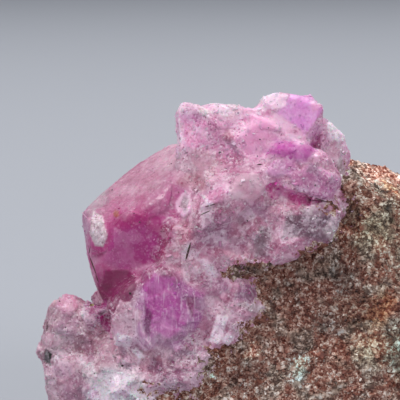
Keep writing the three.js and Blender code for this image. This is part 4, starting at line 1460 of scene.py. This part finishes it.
def add_sliver(work, name, across, up, length, turn, width):
    """A thin blade that lies on the skin round a place and is pointed at both ends."""
    size = box_corners(name)[1]
    turn = math.radians(turn)
    reach = np.array([math.cos(turn) / size[0], math.sin(turn) / size[2]]) * length / 2
    rings = []
    for step in range(SLIVER_STEPS + 1):
        share = 2 * step / SLIVER_STEPS - 1
        place, outward = in_front(name, *(np.array([across, up]) + share * reach))
        rings.append((place, outward, max(width / 2 * math.sqrt(1 - share ** 2), SLIVER_TIP)))
    along = (rings[-1][0] - rings[0][0]).normalized()
    # a cube is cut across into rings, and each ring's corners go to their places round the blade
    first = len(work.verts)
    corners = bmesh.ops.create_cube(work, size=2)["verts"]
    long_edges = [work.edges.get((corners[at], corners[at + 4])) for at in range(4)]
    bmesh.ops.subdivide_edges(work, edges=long_edges, cuts=SLIVER_STEPS - 1)
    for corner in work.verts[first:]:
        place, outward, half = rings[round((corner.co.x + 1) / 2 * SLIVER_STEPS)]
        side = along.cross(outward).normalized()
        if corner.co.y * corner.co.z > 0:
            corner.co = place + math.copysign(half, corner.co.y) * side
        elif corner.co.y > 0:
            corner.co = place + 0.8 * half * outward
        else:
            corner.co = place - half * outward


# Needles, cracks and a line of painted shade: place across and up in the box, length in millimetres, turn
# in degrees, width.
NEEDLES_AND_SHADE_LINE = {
    "massive_calcite": [
        (0.18, 0.57, 2.8, 75, 0.3),
        (0.30, 0.82, 1.8, 15, 0.2),
        (0.27, 0.78, 1.6, 25, 0.14),
    ],
    "left_crystal": [
        (0.10, 0.36, 1.4, 78, 0.2),
        (0.13, 0.26, 3.0, -68, 0.26),
        (0.17, 0.18, 1.2, -70, 0.2),
    ],
    "crown_crystals": [
        # painted shade: the dark line under the overhang's lower edge, where the lobe shades the stone
        # below
        (0.80, 0.33, 3.8, -18, 0.18),
        (0.48, 0.55, 0.7, 0, 0.22),
    ],
    "lower_left_crystals": [
        (0.12, 0.82, 1.4, 85, 0.18),
    ],
}

# How many grains of ore, and how many bright chips, lie on each piece. The chips are near-white frost,
# partly painted glints.
ORE = {"crown_crystals": 84, "left_crystal": 38, "massive_calcite": 36, "lower_left_crystals": 48,
       "tooth_crystal": 5, "violet_crystals": 5, "cleaved_crystals": 6, "flank_crystals": 50}
GLINTS = {"crown_crystals": 16, "left_crystal": 3, "massive_calcite": 6, "lower_left_crystals": 8,
          "violet_crystals": 3, "cleaved_crystals": 5, "flank_crystals": 8}


def open_places(source, count, luck):
    """Places on the part of this skin that can be seen, with the normal at each."""
    mesh = skins[source]
    rows = [face.index for face in mesh.polygons if in_sight[source][face.vertices[0]]]
    for row in luck.choice(rows, count):
        face = mesh.polygons[int(row)]
        yield face.center / MM, face.normal

# %% Ore, needles with a line of painted shade, and glints
luck = np.random.default_rng(31)
work = bmesh.new()
for source, count in ORE.items():
    for place, outward in open_places(source, count, luck):
        add_grain(work, place, outward, 0.05 + 0.13 * luck.random() ** 4, luck)
add_made(work, "ore_grains", "ore")
print(sum(ORE.values()), "grains of ore")

work = bmesh.new()
for name, slivers in NEEDLES_AND_SHADE_LINE.items():
    for sliver in slivers:
        add_sliver(work, name, *sliver)
add_made(work, "rust_needles_and_shade_line", "rust")

# near-white cleavage chips: partly real frost, partly painted glints
work = bmesh.new()
for source, count in GLINTS.items():
    for place, outward in open_places(source, count, luck):
        edge = luck.uniform(0.3, 0.75)
        edges = (edge, edge * 0.8, edge * 0.6)
        lattice = rhomb_matrix(place - outward * edge * 0.5, edges, outward, luck.uniform(0, 360))
        bmesh.ops.create_cube(work, size=1, matrix=lattice)
add_made(work, "frosted_chips_and_glints", "frost")
print(sum(GLINTS.values()), "bright chips")

# %% [markdown]
# ## Floor, lights and camera
# A pale floor curves up far behind the specimen. A soft key light stands to the left and above, a
# second one lights the top from behind, and a weaker one fills the right side. The camera looks
# slightly down through a long lens.

# %% Floor
FLOOR_RADIUS = 2.2
BEND_RADIUS = 0.6
WALL_HEIGHT = 1.2
BEND_STEPS = 8


def studio_floor():
    """A round paper floor that curves up into a low wall far behind the specimen."""
    work = bmesh.new()
    profile = [(0, 0), (FLOOR_RADIUS, 0)]
    for step in range(1, BEND_STEPS + 1):
        angle = math.radians(90) * step / BEND_STEPS
        profile.append((FLOOR_RADIUS + BEND_RADIUS * math.sin(angle), BEND_RADIUS * (1 - math.cos(angle))))
    profile.append((FLOOR_RADIUS + BEND_RADIUS, WALL_HEIGHT))
    points = [work.verts.new((x, 0, z)) for x, z in profile]
    edges = [work.edges.new(pair) for pair in zip(points, points[1:])]
    bmesh.ops.spin(work, geom=points + edges, cent=(0, 0, 0), axis=(0, 0, 1), angle=math.tau, steps=96,
                   use_merge=True, dvec=(0, 0, 0))
    bmesh.ops.remove_doubles(work, verts=work.verts, dist=0.0001)
    bmesh.ops.recalc_face_normals(work, faces=work.faces)
    mesh = mesh_of(work, "studio_floor")
    mesh.shade_smooth()
    material, tree = new_material("studio_paper")
    paper = node(tree, "BsdfPrincipled", {"Base Color": linear("#abaeb5"), "Roughness": 0.9})
    node(tree, "OutputMaterial", {"Surface": paper})
    mesh.materials.append(material)
    floor = bpy.data.objects.new("studio_floor", mesh)
    bpy.context.collection.objects.link(floor)


studio_floor()

# %% Lights
def soft_light(name, at, size, power):
    lamp = bpy.data.lights.new(name, "AREA")
    lamp.shape = "DISK"
    lamp.size = size
    lamp.energy = power
    made = bpy.data.objects.new(name, lamp)
    made.location = at
    made.rotation_euler = (Vector((0, 0, 0.03)) - Vector(at)).to_track_quat("-Z", "Y").to_euler()
    made.visible_camera = False
    bpy.context.collection.objects.link(made)


soft_light("key", (-0.75, -0.55, 1.5), 0.7, 16)
soft_light("top", (0.35, 0.8, 1.7), 0.9, 15)
soft_light("fill", (0.9, -1.2, 0.8), 0.8, 7)
world = bpy.data.worlds.new("studio")
world.use_nodes = True
world.node_tree.nodes["Background"].inputs["Color"].default_value = (*linear("#e4e7ee"), 1)
world.node_tree.nodes["Background"].inputs["Strength"].default_value = 0.45
bpy.context.scene.world = world
bpy.context.scene.view_settings.view_transform = "Standard"

# %% Camera
CAMERA_RISE = math.radians(8)
CAMERA_DISTANCE = 0.3
AIM = Vector((-8.25, -1.62, 38)) * MM
camera = bpy.data.objects.new("camera", bpy.data.cameras.new("camera"))
camera.data.lens = 180
camera.data.sensor_width = 36
back = Vector((0, -math.cos(CAMERA_RISE), math.sin(CAMERA_RISE)))
camera.location = AIM + back * CAMERA_DISTANCE
camera.rotation_euler = (-back).to_track_quat("-Z", "Y").to_euler()
camera.data.clip_start = 0.01
camera.data.clip_end = 10
bpy.context.collection.objects.link(camera)
bpy.context.scene.camera = camera
